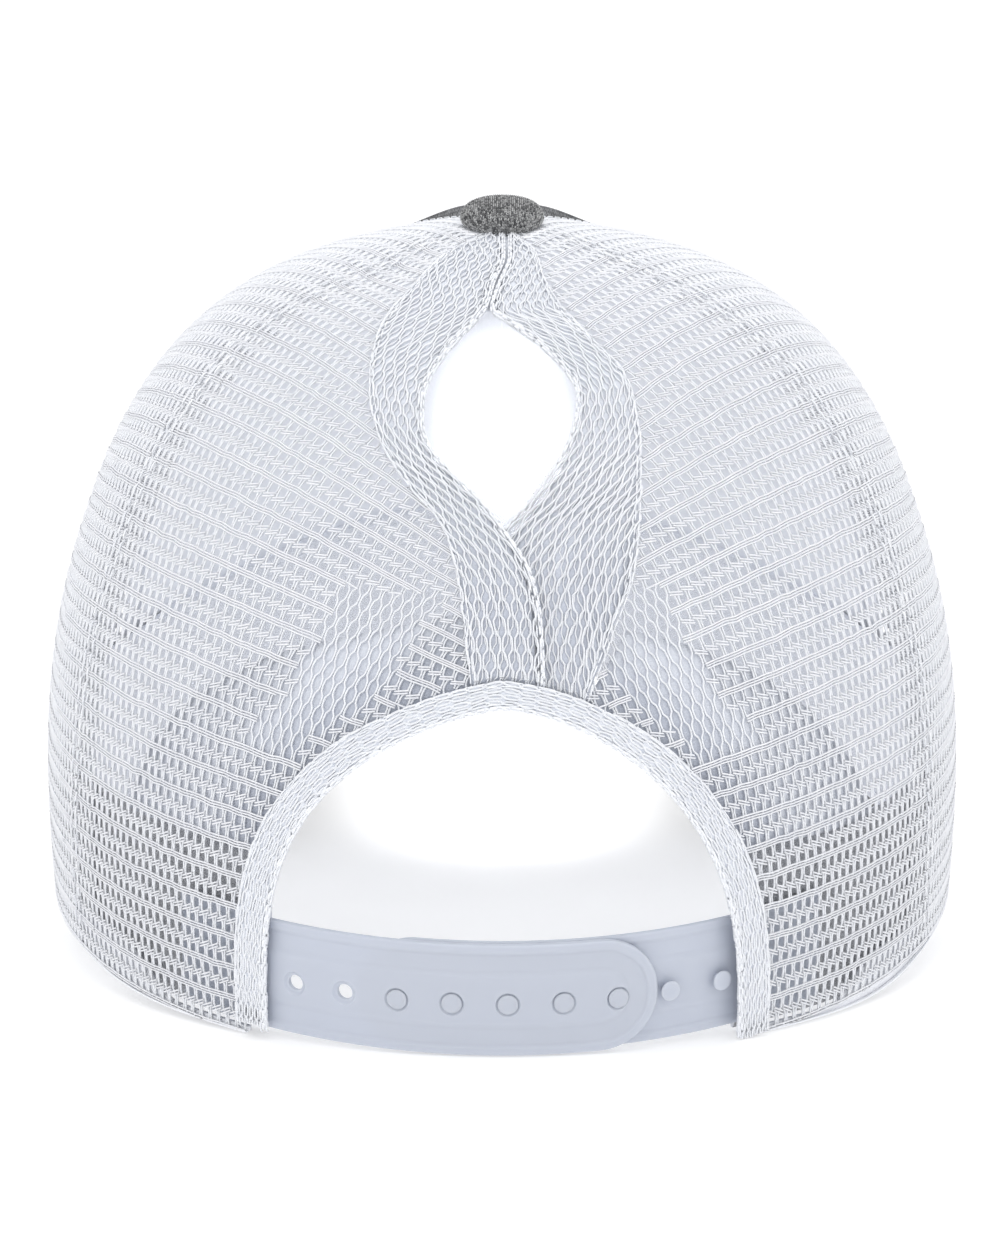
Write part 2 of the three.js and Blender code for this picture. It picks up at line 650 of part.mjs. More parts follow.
// Pitch at which the lowest place of the visor and the lowest place of the back are level
function restingPitch(group) {
  const points = [];
  group.traverse((object) => {
    if (!object.isMesh) return;
    const position = object.geometry.getAttribute("position");
    for (let index = 0; index < position.count; index += 1) {
      points.push(new THREE.Vector3().fromBufferAttribute(position, index));
    }
  });
  const lowest = (pitch, chosen) =>
    Math.min(...chosen.map((point) => point.z * Math.cos(pitch) - point.y * Math.sin(pitch)));
  const front = points.filter((point) => point.y < -60 && point.z < 5);
  const back = points.filter((point) => point.y > 60 && point.z < 5);
  let low = 0;
  let high = degToRad(20);
  for (let step = 0; step < 40; step += 1) {
    const middle = (low + high) / 2;
    if (lowest(middle, front) < lowest(middle, back)) {
      low = middle;
    } else {
      high = middle;
    }
  }
  return (low + high) / 2;
}

cap.rotation.x = -restingPitch(cap);
cap.updateMatrixWorld(true);
const box = new THREE.Box3().setFromObject(cap, true);
cap.position.set(-(box.min.x + box.max.x) / 2, -(box.min.y + box.max.y) / 2, -box.min.z);

export default cap;
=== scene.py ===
import math

import bpy
import numpy as np
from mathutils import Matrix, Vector


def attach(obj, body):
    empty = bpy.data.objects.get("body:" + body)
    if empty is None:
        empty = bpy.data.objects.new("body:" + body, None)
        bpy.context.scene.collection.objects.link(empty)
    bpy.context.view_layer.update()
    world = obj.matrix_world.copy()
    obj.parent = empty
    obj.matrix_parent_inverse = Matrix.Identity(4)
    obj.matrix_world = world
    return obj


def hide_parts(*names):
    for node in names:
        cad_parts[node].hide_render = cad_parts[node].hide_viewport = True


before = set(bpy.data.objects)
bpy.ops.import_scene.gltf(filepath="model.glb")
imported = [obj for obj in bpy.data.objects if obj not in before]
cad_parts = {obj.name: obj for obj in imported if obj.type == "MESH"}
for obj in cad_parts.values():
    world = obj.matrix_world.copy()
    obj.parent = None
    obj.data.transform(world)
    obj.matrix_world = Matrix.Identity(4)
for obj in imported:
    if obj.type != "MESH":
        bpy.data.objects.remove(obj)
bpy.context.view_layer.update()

MM = 0.001
rad = math.radians

# Crown
RIM_HALF_WIDTH = 87.6
RIM_HALF_LENGTH = 100.5
RIM_POWER = 1.95
CROWN_HEIGHT = 126.5
PROFILE_POWER = {"side": 2.79, "back": 2.32, "front": 2.34}
BELLY = 0.014
BELLY_TOP = 75
PEAK_HEIGHT = 3.8
PEAK_SPREAD = 22
TOP_RISE = rad(87.6)

# Hollows and swells of the soft net: turn, rise, their spreads, and how far it stands out
SOFT_FORM = [
    (17, 34, 9, 7, -2.4),
    (-18, 33, 8, 7, -2.6),
    (58, 73, 16, 6, -1.8),
    (-26, 54, 8, 2.6, -1.2),
    (42, 47, 13, 12, 0.9),
    (-44, 46, 12, 12, 0.8),
]

# Rim: its rise at the front, and its dips as turn, spread and drop
FRONT_RIM_RISE = 14
FRONT_RIM_START = rad(112)
RIM_DIPS = [(rad(-54), rad(15), 2.4), (rad(52), rad(13), 1)]

# Seams and the front panels
BACK_SEAM_TURN = rad(66)
FRONT_SEAM_TURN = rad(120)
FRONT_SEAM_SHIFT = rad(24)
FRONT_SEAM_BEND = (rad(44), rad(68))
FRONT_THICKNESS = 2
FRONT_GRID = (48, 64)
CENTRE_SEAM_GAP = 0.04
PIECE_GAP = 0.3
TENT_HEIGHT = 2.2
TENT_REACH = (38, 8)
TENT_EDGE_RISE = rad(62)
ALLOWANCE_WIDTHS = [(rad(1), 4), (rad(22), 4.5), (rad(38), 7.5), (rad(46), 7.5), (rad(54), 6), (rad(80), 4)]
ALLOWANCE_DEPTHS = (0.85, 1.2)

# Arched opening over the strap
ARCH = {
    1: {"turn": rad(28.9), "rise": rad(29.1), "turn_power": 1.45, "rise_power": 3.5},
    -1: {"turn": rad(29), "rise": rad(29.1), "turn_power": 1.68, "rise_power": 2.7},
}
ARCH_BINDING = (rad(4.3), rad(2.3))
ARCH_GAP = rad(0.22)

# Ponytail opening: distances to the left of the middle, at each rise, of the edge of each net panel
# and of the free edge of each binding
CENTRE_COLUMNS = ("rise", "left_panel", "left_edge", "right_edge", "right_panel")
CENTRE_EDGES = [
    (28, 5.4, -7.5, 7, -15),
    (34, 6.3, -7.3, 6.8, -19.5),
    (38, 7.4, -6.4, 5.6, -22.9),
    (41, 8.4, -4.4, 3.6, -24),
    (44.4, 11, 0.2, -0.2, -24.5),
    (47, 16, 4.3, -4.9, -24.7),
    (50.8, 21.2, 11.7, -10.3, -24.8),
    (54, 23.2, 13.9, -12.6, -24.5),
    (57, 23.9, 13.7, -13.2, -23.2),
    (60, 23.7, 12, -11.3, -20.6),
    (64, 22.2, 8.5, -6.6, -16),
    (67, 20.4, 5.4, -2.2, -13),
    (70, 18, 2.8, 2.2, -10.6),
    (75, 14, 1.2, 0.7, -7.8),
    (80, 9.5, -0.6, -1.1, -6.4),
    (88, 2, -0.6, -1.1, -2),
]

# Net: pitch of its columns and rows, and the meridian that its columns follow on each side. Its
# straight threads lie on even rows, threes of them, and slanting pairs lie on odd rows: the row's
# parity, the ends in columns, the slant and the distances beside the row
COLUMN = 2.24
ROW = 3.03
ROWS = 62
U_STEP = COLUMN / 2
U_STEPS = (-100, 112)
PANEL_ROWS = (-3, ROWS)
BACK_COLUMNS = (-6, 56)
SIDE_COLUMNS = (-49, 40)
GRAIN_TURN = rad(61)
NET_DEPTH = 0.55
DOUBLED_DEPTH = 1.15
DOUBLED_SHIFT = (1.1, 1.3)
DOUBLED_REACH = 6.5
DOUBLED_END = rad(100)
STRAND_HALF = 0.235
SIDE_STRAND_HALF = 0.27
THIN_NET_HALF = 0.12
STRAND_APART = 0.2
STRAND_SINK = 0.09
CROSSING = (0.22, 0.78)
FLOAT_RAISED = 0.29
FLOAT_HALF = 0.18
FLOATS = [(0, (-0.02, 1.02), 0, (-0.48, 0, 0.48)), (1, (-0.58, 0.58), rad(25), (-0.28, 0.28))]
SLACK_SIZE = (80, 160, 2)
THIN_NET_WIDTHS = [(rad(28), 0), (rad(43), 9), (rad(60), 9), (rad(70), 0)]
SEAM_GAP = rad(0.12)
TUCK = rad(1.2)

# Net's hem, the cloth turned in round the arch, drawn grey-blue as painted shade, and the bare patches
# beside the strips' feet
HEM_DEPTHS = (0.95, 1.85)
HEM_TURNS = (rad(44), rad(54))
HEM_HEIGHTS = (0.9, 8)
RIM_CORDS = ((0.25, 0.4, 0.2), (0.15, 0.8, 0.25))
FACING_START = {1: rad(81), -1: rad(67)}
FACING_END = rad(12)
FACING_TUCK = (-rad(0.5), -rad(0.3))
FACING_WIDTH = (rad(21.5), rad(5.6))
FACING_DEPTHS = (1.15, 1.55)
BARE_START = (rad(1.2), rad(0.744))
BARE_HEIGHTS = (54, 64, 75, 82)
BARE_FROM = np.radians((18.5, 16.5, 11.3, 7.5))
BARE_TO = np.radians((33, 27.8, 24.4, 22.5))

# Folded strips round the openings, and the tape where two of them meet
BINDING_PROUD = 0.6
OVERLAP_DROP = 2
OVERLAP_SIDE = (-16, -9.5)
OVERLAP_RISE = (rad(45.2), rad(49))
PROUD_END = (rad(80), rad(84.5))
FOOT_DEEPENING = 6
FOOT_START = -0.035
FOOT_DROP = 1.5
FOOT_BLEND = rad(0.7)
FOLD = 1.3
UNDER_NET = (0.42, (0.8, 1.3), 0.17)
TAPE_RISES = (rad(70.5), rad(86.5))
TAPE_HALF = 2.2
TAPE_DEPTHS = (0.85, 1.15)

# Visor
VISOR_END_TURN = rad(123)
VISOR_THICKNESS = 3
VISOR_SLOPE = math.tan(rad(15))
VISOR_BEND_RADIUS = 101
VISOR_OUTLINE = [(77.5, 57), (83.5, 80), (82.5, 108), (71, 136), (43, 157), (0, 167)]
VISOR_GRID = (120, 60)
VISOR_ROUND = 1.5
VISOR_ROWS = [5, 13.5, 22, 30.5, 39, 47.5]
VISOR_GROOVE = 0.3

# Sweatband
BAND_HEIGHT = 35
BAND_THICKNESS = 1.5
BAND_DEPTH = {"front": 2.7, "back": 4.9}
BAND_BACK = (rad(46), rad(64))
BAND_END_TURN = rad(31)
BAND_ROWS = (2.2, 32.8)

# Button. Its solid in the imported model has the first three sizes
BUTTON_RADIUS = 8
BUTTON_HEIGHT = 4.8
BUTTON_EDGE = 0.4
BUTTON_FULLNESS = 0.62
BUTTON_WAIST = 0.6
BUTTON_UNDER = 2.5
BUTTON_KNIT = 0.7
BUTTON_INSET = 0.25
WALE = 0.72
COURSE = 0.54

# Snap strap. Places along it are distances from the middle of the back, positive to the left
STRAP_HEIGHT = 21.4
STRAP_BOTTOM = 1.5
STRAP_THICKNESS = 1.3
OUTER_STRAP = {"fixed_end": 66, "tip": -28.5, "depth": 1.5}
INNER_STRAP = {"fixed_end": -67, "tip": 26.5, "depth": 1.5 + STRAP_THICKNESS + PIECE_GAP}
STRAP_ROWS = 47
RIM_WIDTH = 2
RECESS_WIDTH = 4
RELIEF = 0.25
RELIEF_BLEND = 0.4
EDGE_ROUND = 0.45
HOLE_HEIGHT = STRAP_BOTTOM + STRAP_HEIGHT / 2 - 0.7
HOLE_PLACES = [39, 29, 19, 9, -1, -11, -21]
PEG_PLACES = HOLE_PLACES[2:] + [-31, -41.7]
HOLE_RADIUS = 1.45
RING_RADIUS = 2.15
RING_PROFILE = [(0.36, -0.6), (0.18, -0.02), (0, 0.18), (-0.12, 0.26), (-0.25, 0.38)]
BORE_PROFILE = [(0.1, 0.43), (0, 0.54), (0, 2.1)]
PEG_STEM_RADIUS = 1.1
PEG_HEAD_RADIUS = 1.85
PEG_HEAD_BASE_DEPTH = 1.9
PEG_TOP_DEPTH = 1.3
PEG_TOP_PROFILE = [(0.35, 0), (0.72, 0.05), (0.92, 0.13), (1, 0.3)]
PEG_BASE_PROFILE = [(1.85, -0.15), (1.7, 0), (PEG_STEM_RADIUS, 0.05)]

# Camera, fitted to the photograph, in the row frame
CAMERA_PLACE = Vector((0.4, 976.7, 230.8)) * MM
CAMERA_TARGET = Vector((0.4, 38.9, 61.3)) * MM
LENS = 141.87
SENSOR = 36

# Soft lights: name, place and size in metres, and watts
SOFT_LIGHTS = [
    ("key", (0.3, 0.8, 1.3), 0.9, 2.2),
    ("top", (-0.2, -0.1, 1.6), 1.2, 3.8),
    ("fill", (-0.15, 1.3, 0.16), 0.9, 1),
]
LIT_MIDDLE = Vector((0, 0.01, 0.07))
INSIDE_LAMP = {"shadow_soft_size": 0.025, "energy": 0.012}
OPENING_BEAM = {"shape": "ELLIPSE", "size": 0.029, "size_y": 0.042, "energy": 0.003, "spread": rad(6)}
FLOOR_BEAM = {"shape": "ELLIPSE", "size": 0.07, "size_y": 0.15, "energy": 0.03, "spread": rad(150)}
FLOOR_RADIUS = 12
FLOOR_SIDES = 128

rng = np.random.default_rng(7)


def smooth(value, start, end):
    t = np.clip((value - start) / (end - start), 0, 1)
    return t * t * (3 - 2 * t)


def lerp(a, b, t):
    return a + (b - a) * t


def unit(v):
    return v / np.maximum(np.linalg.norm(v, axis=-1, keepdims=True), 1e-12)


def power(value, exponent):
    return np.power(np.maximum(value, 0), exponent)


def together(*values):
    """Arrays of one shape from numbers and arrays."""
    return np.broadcast_arrays(*(np.asarray(value, float) for value in values))


def signed(turn):
    return (np.asarray(turn) + math.pi) % (2 * math.pi) - math.pi


def circle(count):
    return np.linspace(0, 2 * math.pi, count + 1)[:-1]


def distances(points, axis=0):
    """Distances gone along rows of points."""
    gone = np.linalg.norm(np.diff(points, axis=axis), axis=-1).cumsum(axis)
    return np.concatenate([np.zeros_like(gone.take([0], axis)), gone], axis)


def rounded(to_edge, radius):
    """How far a rounded edge falls away at a distance in from it."""
    short = np.clip(radius - to_edge, 0, radius)
    return radius - np.sqrt(radius**2 - short**2)


def table_at(table, i, j):
    """Values between the places of a table, at column i and row j."""
    i0 = i.astype(int)
    j0 = j.astype(int)
    a = i - i0
    b = j - j0
    if table.ndim > 2:
        a = a[..., None]
        b = b[..., None]
    low = table[j0, i0] * (1 - a) + table[j0, i0 + 1] * a
    high = table[j0 + 1, i0] * (1 - a) + table[j0 + 1, i0 + 1] * a
    return low * (1 - b) + high * b


# Crown surface

def crown_base(turn, rise):
    """Smooth crown before its hollows and swells."""
    turn, rise = together(turn, rise)
    side = np.sin(turn)
    back = np.cos(turn)
    oval = power(power(abs(side), RIM_POWER) + power(abs(back), RIM_POWER), -1 / RIM_POWER)
    end_power = np.where(back > 0, PROFILE_POWER["back"], PROFILE_POWER["front"])
    profile = PROFILE_POWER["side"] * side**2 + end_power * back**2
    out = np.cos(rise)
    up = np.sin(rise)
    reach = power(power(out, profile) + power(abs(up), profile), -1 / profile)
    height = CROWN_HEIGHT * up * reach
    belly = 1 + BELLY * np.sin(math.pi * np.clip(height / BELLY_TOP, 0, 1))
    x = RIM_HALF_WIDTH * oval * side * out * reach * belly
    y = RIM_HALF_LENGTH * oval * back * out * reach * belly
    peak = PEAK_HEIGHT * np.exp(-(x * x + y * y) / PEAK_SPREAD**2)
    return np.stack([x, y, height + peak], -1)


def crown_normal(turn, rise):
    step = 1e-3
    along_turn = crown_base(turn + step, rise) - crown_base(turn - step, rise)
    along_rise = crown_base(turn, rise + step) - crown_base(turn, rise - step)
    return unit(np.cross(along_rise, along_turn))


def from_axis(turn, rise):
    """Distance of the crown from its axis."""
    return np.hypot(*np.moveaxis(crown_base(turn, rise)[..., :2], -1, 0))


def soft_form(turn, rise):
    total = 0
    for at_turn, at_rise, turn_spread, rise_spread, out in SOFT_FORM:
        across = (turn - rad(at_turn)) / rad(turn_spread)
        upward = (rise - rad(at_rise)) / rad(rise_spread)
        total = total + out * np.exp(-across * across - upward * upward)
    return total


def crown(turn, rise, depth):
    """Point and outward direction at a place on the crown."""
    turn, rise = together(turn, rise)
    normal = crown_normal(turn, rise)
    outward = soft_form(signed(turn), rise) - depth
    return crown_base(turn, rise) + normal * np.asarray(outward)[..., None], normal


def halving(test, low, high, like):
    """Value for each place where test(value) changes from true to false."""
    low = np.full(np.shape(like), float(low))
    high = np.full(np.shape(like), float(high))
    for _ in range(30):
        middle = (low + high) / 2
        below = test(middle)
        low = np.where(below, middle, low)
        high = np.where(below, high, middle)
    return (low + high) / 2


def rise_at_height(turn, height):
    turn, height = together(turn, height)
    return halving(lambda rise: crown_base(turn, rise)[..., 2] < height, rad(-5), rad(60), turn)


def turn_at_side(side, rise):
    side, rise = together(side, rise)
    return halving(lambda turn: crown_base(turn, rise)[..., 0] < side, rad(-80), rad(80), rise)


def front_seam(rise):
    """Turn of the front seam, which the photograph shows running forward near the crown's top."""
    return FRONT_SEAM_TURN + FRONT_SEAM_SHIFT * smooth(rise, *FRONT_SEAM_BEND)


def fixed(turn):
    """A seam or edge at the same turn at each rise."""
    return lambda rise: turn


def rim_height(turn):
    turn = signed(turn)
    forward = np.clip((abs(turn) - FRONT_RIM_START) / (math.pi - FRONT_RIM_START), 0, 1)
    height = FRONT_RIM_RISE * (1 - np.cos(math.pi * forward)) / 2
    for at, spread, drop in RIM_DIPS:
        height = height - drop * np.exp(-(((turn - at) / spread) ** 2))
    return height


def rise_over_rim(turn, height):
    return rise_at_height(turn, rim_height(turn) + height)


def button_seat(radius):
    """Height of the crown's top and the gap on it at a radius."""
    return CROWN_HEIGHT + PEAK_HEIGHT * np.exp(-((radius / PEAK_SPREAD) ** 2)) + PIECE_GAP


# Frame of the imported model, read from the button's solid

def head_frame():
    """Origin in metres and pitch of the head frame in the row frame."""
    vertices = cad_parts["button"].data.vertices
    places = np.zeros(len(vertices) * 3)
    vertices.foreach_get("co", places)
    places = places.reshape(-1, 3)
    mean = places.mean(0)
    axis = np.linalg.eigh(np.cov((places - mean).T))[1][:, 0]
    axis = axis * np.sign(axis[2])
    top = mean + axis * ((places - mean) @ axis).max()
    button_top = button_seat(BUTTON_RADIUS) + BUTTON_EDGE + BUTTON_HEIGHT
    return top - axis * button_top * MM, math.atan2(axis[1], axis[2])


ORIGIN, PITCH = head_frame()


def to_row(points):
    x, y, z = np.moveaxis(np.asarray(points) * MM, -1, 0)
    back = y * math.cos(PITCH) + z * math.sin(PITCH)
    up = z * math.cos(PITCH) - y * math.sin(PITCH)
    return np.stack([x, back, up], -1) + ORIGIN


# Mesh building from arrays

def cloth_places(grid, start=None):
    """Distances along and up a grid of points, as the cloth's own flat places. Those along are
    measured from the middle column or from column start."""
    across = distances(grid)
    across = across - across[len(across) // 2 if start is None else start]
    up = distances(grid, 1)
    return np.stack([across, up, np.zeros_like(up)], -1)


class Pile:
    """Points and faces of one piece, gathered as arrays. Each point has a place in its cloth, in
    millimetres, that the materials read."""

    def __init__(self):
        self.points = []
        self.cloth = []
        self.faces = []
        self.count = 0

    def add(self, points, faces, material=0, cloth=None):
        points = points.reshape(-1, 3)
        if cloth is None:
            cloth = points
        self.points.append(points)
        self.cloth.append(cloth.reshape(-1, 3))
        for corners in faces:
            self.faces.append((corners + self.count, material))
        self.count += len(points)

    def tubes(self, points, normals, half_width, half_height, sides, material, closed=True):
        """Strands along rows of points (strand, step, xyz). Three sides make a ridge along the
        normals, more make a flat side there."""
        if not len(points):
            return
        strands, steps = points.shape[:2]
        side = unit(np.cross(unit(np.gradient(points, axis=1)), normals))
        up = np.cross(side, unit(np.gradient(points, axis=1)))
        turned = 0.75 if sides == 3 else 0.5
        share = (np.arange(sides) + turned) / sides
        if sides == 3:
            half_width = half_width * 1.15
        wide = half_width * np.cos(2 * math.pi * share)[:, None]
        high = half_height * np.sin(2 * math.pi * share)[:, None]
        skin = points[:, :, None] + side[:, :, None] * wide + up[:, :, None] * high
        seed = rng.random(strands)[:, None, None]
        cloth = np.stack(np.broadcast_arrays(distances(points, 1)[:, :, None], share, seed), -1)
        index = np.arange(strands * steps * sides).reshape(strands, steps, sides)
        after = np.roll(index, -1, axis=2)
        walls = np.stack([index[:, :-1], index[:, 1:], after[:, 1:], after[:, :-1]], -1).reshape(-1, 4)
        caps = [np.concatenate([index[:, 0], index[:, -1, ::-1]])] if closed else []
        self.add(skin, [walls, *caps], material, cloth)

    def wall(self, outer, inner, materials, cloth=None):
        """Closed wall between two grids of points (column, row, xyz). Materials are those of the
        outer face, the inner face, the edges and, if it differs, the first row's edge."""
        columns, rows = outer.shape[:2]
        size = columns * rows
        index = np.arange(size).reshape(columns, rows)
        quads = np.stack([index[:-1, :-1], index[1:, :-1], index[1:, 1:], index[:-1, 1:]], -1).reshape(-1, 4)
        ring = np.concatenate([index[:, 0], index[-1, 1:], index[-2::-1, -1], index[0, -2:0:-1]])
        after = np.roll(ring, -1)
        edges = np.stack([ring, ring + size, after + size, after], -1)
        facing = np.cross(outer[1, 0] - outer[0, 0], outer[0, 1] - outer[0, 0])
        if np.dot(facing, inner[0, 0] - outer[0, 0]) > 0:
            quads = quads[:, ::-1]
            edges = edges[:, ::-1]
        if cloth is None:
            cloth = cloth_places(outer)
        base = self.count
        self.add(np.stack([outer, inner]), [quads], materials[0], np.stack([cloth, cloth]))
        first = columns - 1 if len(materials) > 3 else 0
        self.faces.append((quads[:, ::-1] + size + base, materials[1]))
        self.faces.append((edges[first:] + base, materials[2]))
        if first:
            self.faces.append((edges[:first] + base, materials[3]))

    def layer(self, turn, rise, depths, materials, start=None):
        """Closed wall of the crown between two depths."""
        outer, inner = (crown(turn, rise, depth)[0] for depth in depths)
        self.wall(outer, inner, materials, cloth_places(outer, start))

    def turned(self, skin):
        """Closed form through rings of points (round, step, xyz)."""
        index = np.arange(skin.shape[0] * skin.shape[1]).reshape(skin.shape[:2])
        after = np.roll(index, -1, axis=0)
        quads = np.stack([index[:, :-1], after[:, :-1], after[:, 1:], index[:, 1:]], -1).reshape(-1, 4)
        self.add(skin, [quads, index[::-1, 0][None], index[:, -1][None]])


def put(name, data, place=(0, 0, 0), ahead=None):
    """Adds an object to the scene, turned to look ahead."""
    made = bpy.data.objects.new(name, data)
    made.location = place
    if ahead:
        made.rotation_euler = ahead.to_track_quat("-Z", "Y").to_euler()
    bpy.context.scene.collection.objects.link(made)
    return made


def build(name, pile, materials, sharp=None):
    """Makes the mesh object of a pile that stands for the CAD node in its name before the last _."""
    mesh = bpy.data.meshes.new(name)
    points = to_row(np.concatenate(pile.points))
    mesh.vertices.add(len(points))
    mesh.vertices.foreach_set("co", points.astype(np.float32).ravel())
    corners = np.concatenate([faces.ravel() for faces, _ in pile.faces])
    sizes = np.concatenate([np.full(len(faces), faces.shape[1]) for faces, _ in pile.faces])
    looks = np.concatenate([np.full(len(faces), look) for faces, look in pile.faces])
    mesh.loops.add(len(corners))
    mesh.loops.foreach_set("vertex_index", corners.astype(np.int32))
    mesh.polygons.add(len(sizes))
    mesh.polygons.foreach_set("loop_start", (sizes.cumsum() - sizes).astype(np.int32))
    mesh.polygons.foreach_set("material_index", looks.astype(np.int32))
    mesh.update(calc_edges=True)
    mesh.validate()
    cloth = mesh.attributes.new("cloth", "FLOAT_VECTOR", "POINT")
    cloth.data.foreach_set("vector", np.concatenate(pile.cloth).astype(np.float32).ravel())
    mesh.shade_smooth()
    if sharp:
        mesh.set_sharp_from_angle(angle=rad(sharp))
    for material in materials:
        mesh.materials.append(material)
    piece = put(name, mesh)
    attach(piece, "root")
    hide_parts(name.rsplit("_", 1)[0])
    return piece


# Materials

class Look:
    """A material and short calls for its nodes."""

    def __init__(self, name, **values):
        self.material = bpy.data.materials.new(name)
        self.material.use_nodes = True
        self.tree = self.material.node_tree
        self.surface = self.tree.nodes["Principled BSDF"]
        for key, value in values.items():
            self.surface.inputs[key.replace("_", " ")].default_value = value

    def node(self, kind, inputs, output=0, **settings):
        made = self.tree.nodes.new(kind)
        for key, value in settings.items():
            setattr(made, key, value)
        for key, value in inputs.items():
            if isinstance(value, bpy.types.NodeSocket):
                self.tree.links.new(value, made.inputs[key])
            else:
                made.inputs[key].default_value = value
        return made.outputs[output]

    def math(self, operation, *values):
        return self.node("ShaderNodeMath", dict(enumerate(values)), operation=operation)

    def total(self, *parts, start=0.0):
        """Start plus each value times its weight."""
        for value, weight in parts:
            start = self.math("MULTIPLY_ADD", value, weight, start)
        return start

    def wave(self, turns):
        return self.math("SINE", self.math("MULTIPLY", turns, 2 * math.pi))

    def place(self):
        return self.node("ShaderNodeTexCoord", {}, "Object")

    def part(self, vector, index):
        return self.node("ShaderNodeSeparateXYZ", {0: vector}, index)

    def cloth(self):
        """Place in the cloth, and its three parts."""
        vector = self.node("ShaderNodeAttribute", {}, "Vector", attribute_name="cloth")
        return vector, *(self.part(vector, index) for index in range(3))

    def noise(self, vector, scale, detail=2.0, stretch=None):
        if stretch:
            vector = self.node("ShaderNodeVectorMath", {0: vector, 1: stretch}, operation="MULTIPLY")
        return self.node("ShaderNodeTexNoise", {"Vector": vector, "Scale": scale, "Detail": detail}, "Fac")

    def between(self, value, low, high):
        return self.node("ShaderNodeMapRange", {"Value": value, "From Min": low, "From Max": high})

    def level(self, low, high):
        """0 to 1 between two heights in metres."""
        return self.between(self.part(self.place(), 2), low, high)

    def link(self, key, value):
        self.tree.links.new(value, self.surface.inputs[key])

    def paint(self, factor, *stops):
        """Colour that goes through stops of place and colour."""
        colour = self.node("ShaderNodeValToRGB", {0: factor})
        ends = colour.node.color_ramp.elements
        while len(ends) < len(stops):
            ends.new(0.5)
        for end, (place, shade) in zip(ends, stops):
            end.position = place
            end.color = (*shade, 1)
        self.link("Base Color", colour)

    def bump(self, height, distance, strength=1.0):
        inputs = {"Height": height, "Distance": distance, "Strength": strength}
        self.link("Normal", self.node("ShaderNodeBump", inputs))
        return self.material


def thread_look(name, pale, shade, twist=2.2):
    """Plied thread: fine turns along each strand, and a slow change of tone."""
    look = Look(name, Sheen_Weight=0.15)
    _, gone, angle, seed = look.cloth()
    tone = look.noise(look.place(), 220)
    look.paint(look.total((tone, 0.7), (seed, 0.3)), (0.3, shade), (0.7, pale))
    look.link("Roughness", look.total((tone, 0.3), start=0.5))
    return look.bump(look.wave(look.total((gone, twist), start=angle)), 0.00003, 0.6)


def knit_look(name, dark, light, wale=0.95, course=0.72, specks=0.55):
    """Heather jersey: columns of small V stitches spun from dark and light fibres, with painted shade in the
    grooves between the stitches.
    """
    look = Look(name, Roughness=0.95, Sheen_Weight=0.25, Sheen_Roughness=0.6)
    vector, across, up, _ = look.cloth()
    column = look.math("FRACT", look.math("DIVIDE", across, wale))
    lean = look.math("ABSOLUTE", look.math("SUBTRACT", column, 0.5))
    stitch = look.wave(look.total((lean, 1.3), start=look.math("DIVIDE", up, course)))
    ridge = look.math("POWER", look.math("ABSOLUTE", look.wave(lean)), 0.5)
    height = look.math("MULTIPLY", ridge, look.total((stitch, 0.325), start=0.675))
    speck = look.noise(vector, 1.7, 4.0, (1.6, 0.55, 1))
    streak = look.noise(vector, 0.9, 3.0, (0.22, 0.95, 1))
    cloud = look.noise(vector, 0.5, 3.0)
    # The stitch height in the tone draws the grooves between stitches darker: painted shade. The specks,
    # streaks and clouds are the fibres' own tones.
    tone = look.total((speck, specks), (height, 0.3), (streak, 0.5), (cloud, 0.3), start=-0.4)
    middle = lerp(np.array(dark), np.array(light), 0.45)
    look.paint(tone, (0.27, dark), (0.5, middle), (0.7, light))
    return look.bump(height, 0.00022)


def fleece_look(name, shade, pale, scale=3.0, depth=0.00012, painted_shade_levels=None, sideways=False):
    """Pale backing or towelling: soft fibres without a clear weave. With painted_shade_levels, its tone goes
    from shade to pale between two heights, or sideways between two distances: painted shade."""
    look = Look(name, Roughness=0.9)
    vector, across, up, _ = look.cloth()
    tone = fibre = look.noise(vector, scale, 5.0)
    waves = [look.math("SINE", look.math("MULTIPLY", along, 9.0)) for along in (across, up)]
    # Painted shade: the tone runs from shade low down to pale higher up, or from shade at the start of the
    # cloth's width to pale beyond it.
    if painted_shade_levels:
        level = look.between(across, *painted_shade_levels) if sideways else look.level(*painted_shade_levels)
        tone = look.total((fibre, 0.4), (level, 0.6))
    look.paint(tone, (0.35, shade), (0.65, pale))
    return look.bump(look.total((look.math("MULTIPLY", *waves), 0.2), start=fibre), depth)


def strap_look():
    """Translucent moulded plastic with faint flow marks and fine scratches."""
    look = Look("strap_plastic", IOR=1.46, Subsurface_Weight=0.6, Subsurface_Scale=0.002)
    look.surface.inputs["Subsurface Radius"].default_value = (1, 1, 1)
    vector = look.cloth()[0]
    flow = look.noise(vector, 1.0, 3.0, (0.05, 0.6, 1))
    look.paint(flow, (0.3, (0.49, 0.52, 0.59)), (0.7, (0.535, 0.565, 0.635)))
    grain = look.noise(vector, 6.0, 3.0)
    look.link("Roughness", look.total((grain, 0.18), start=0.25))
    return look.bump(grain, 0.00001)


def backing_painted_light_look():
    """Pale fused backing of the front panels, drawn paler towards the top and darker low down: painted light
    and shade.
    """
    look = Look("front_inside", Roughness=0.92)
    fibre = look.noise(look.cloth()[0], 2.5, 5.0)
    # Painted light and shade: the tone rises with height from 0.025 m to 0.1 m, paler at the top.
    tone = look.total((fibre, 0.3), (look.level(0.025, 0.1), 0.7))
    look.paint(tone, (0.2, (0.84, 0.86, 0.915)), (0.8, (0.88, 0.895, 0.94)))
    return look.bump(fibre, 0.0001)


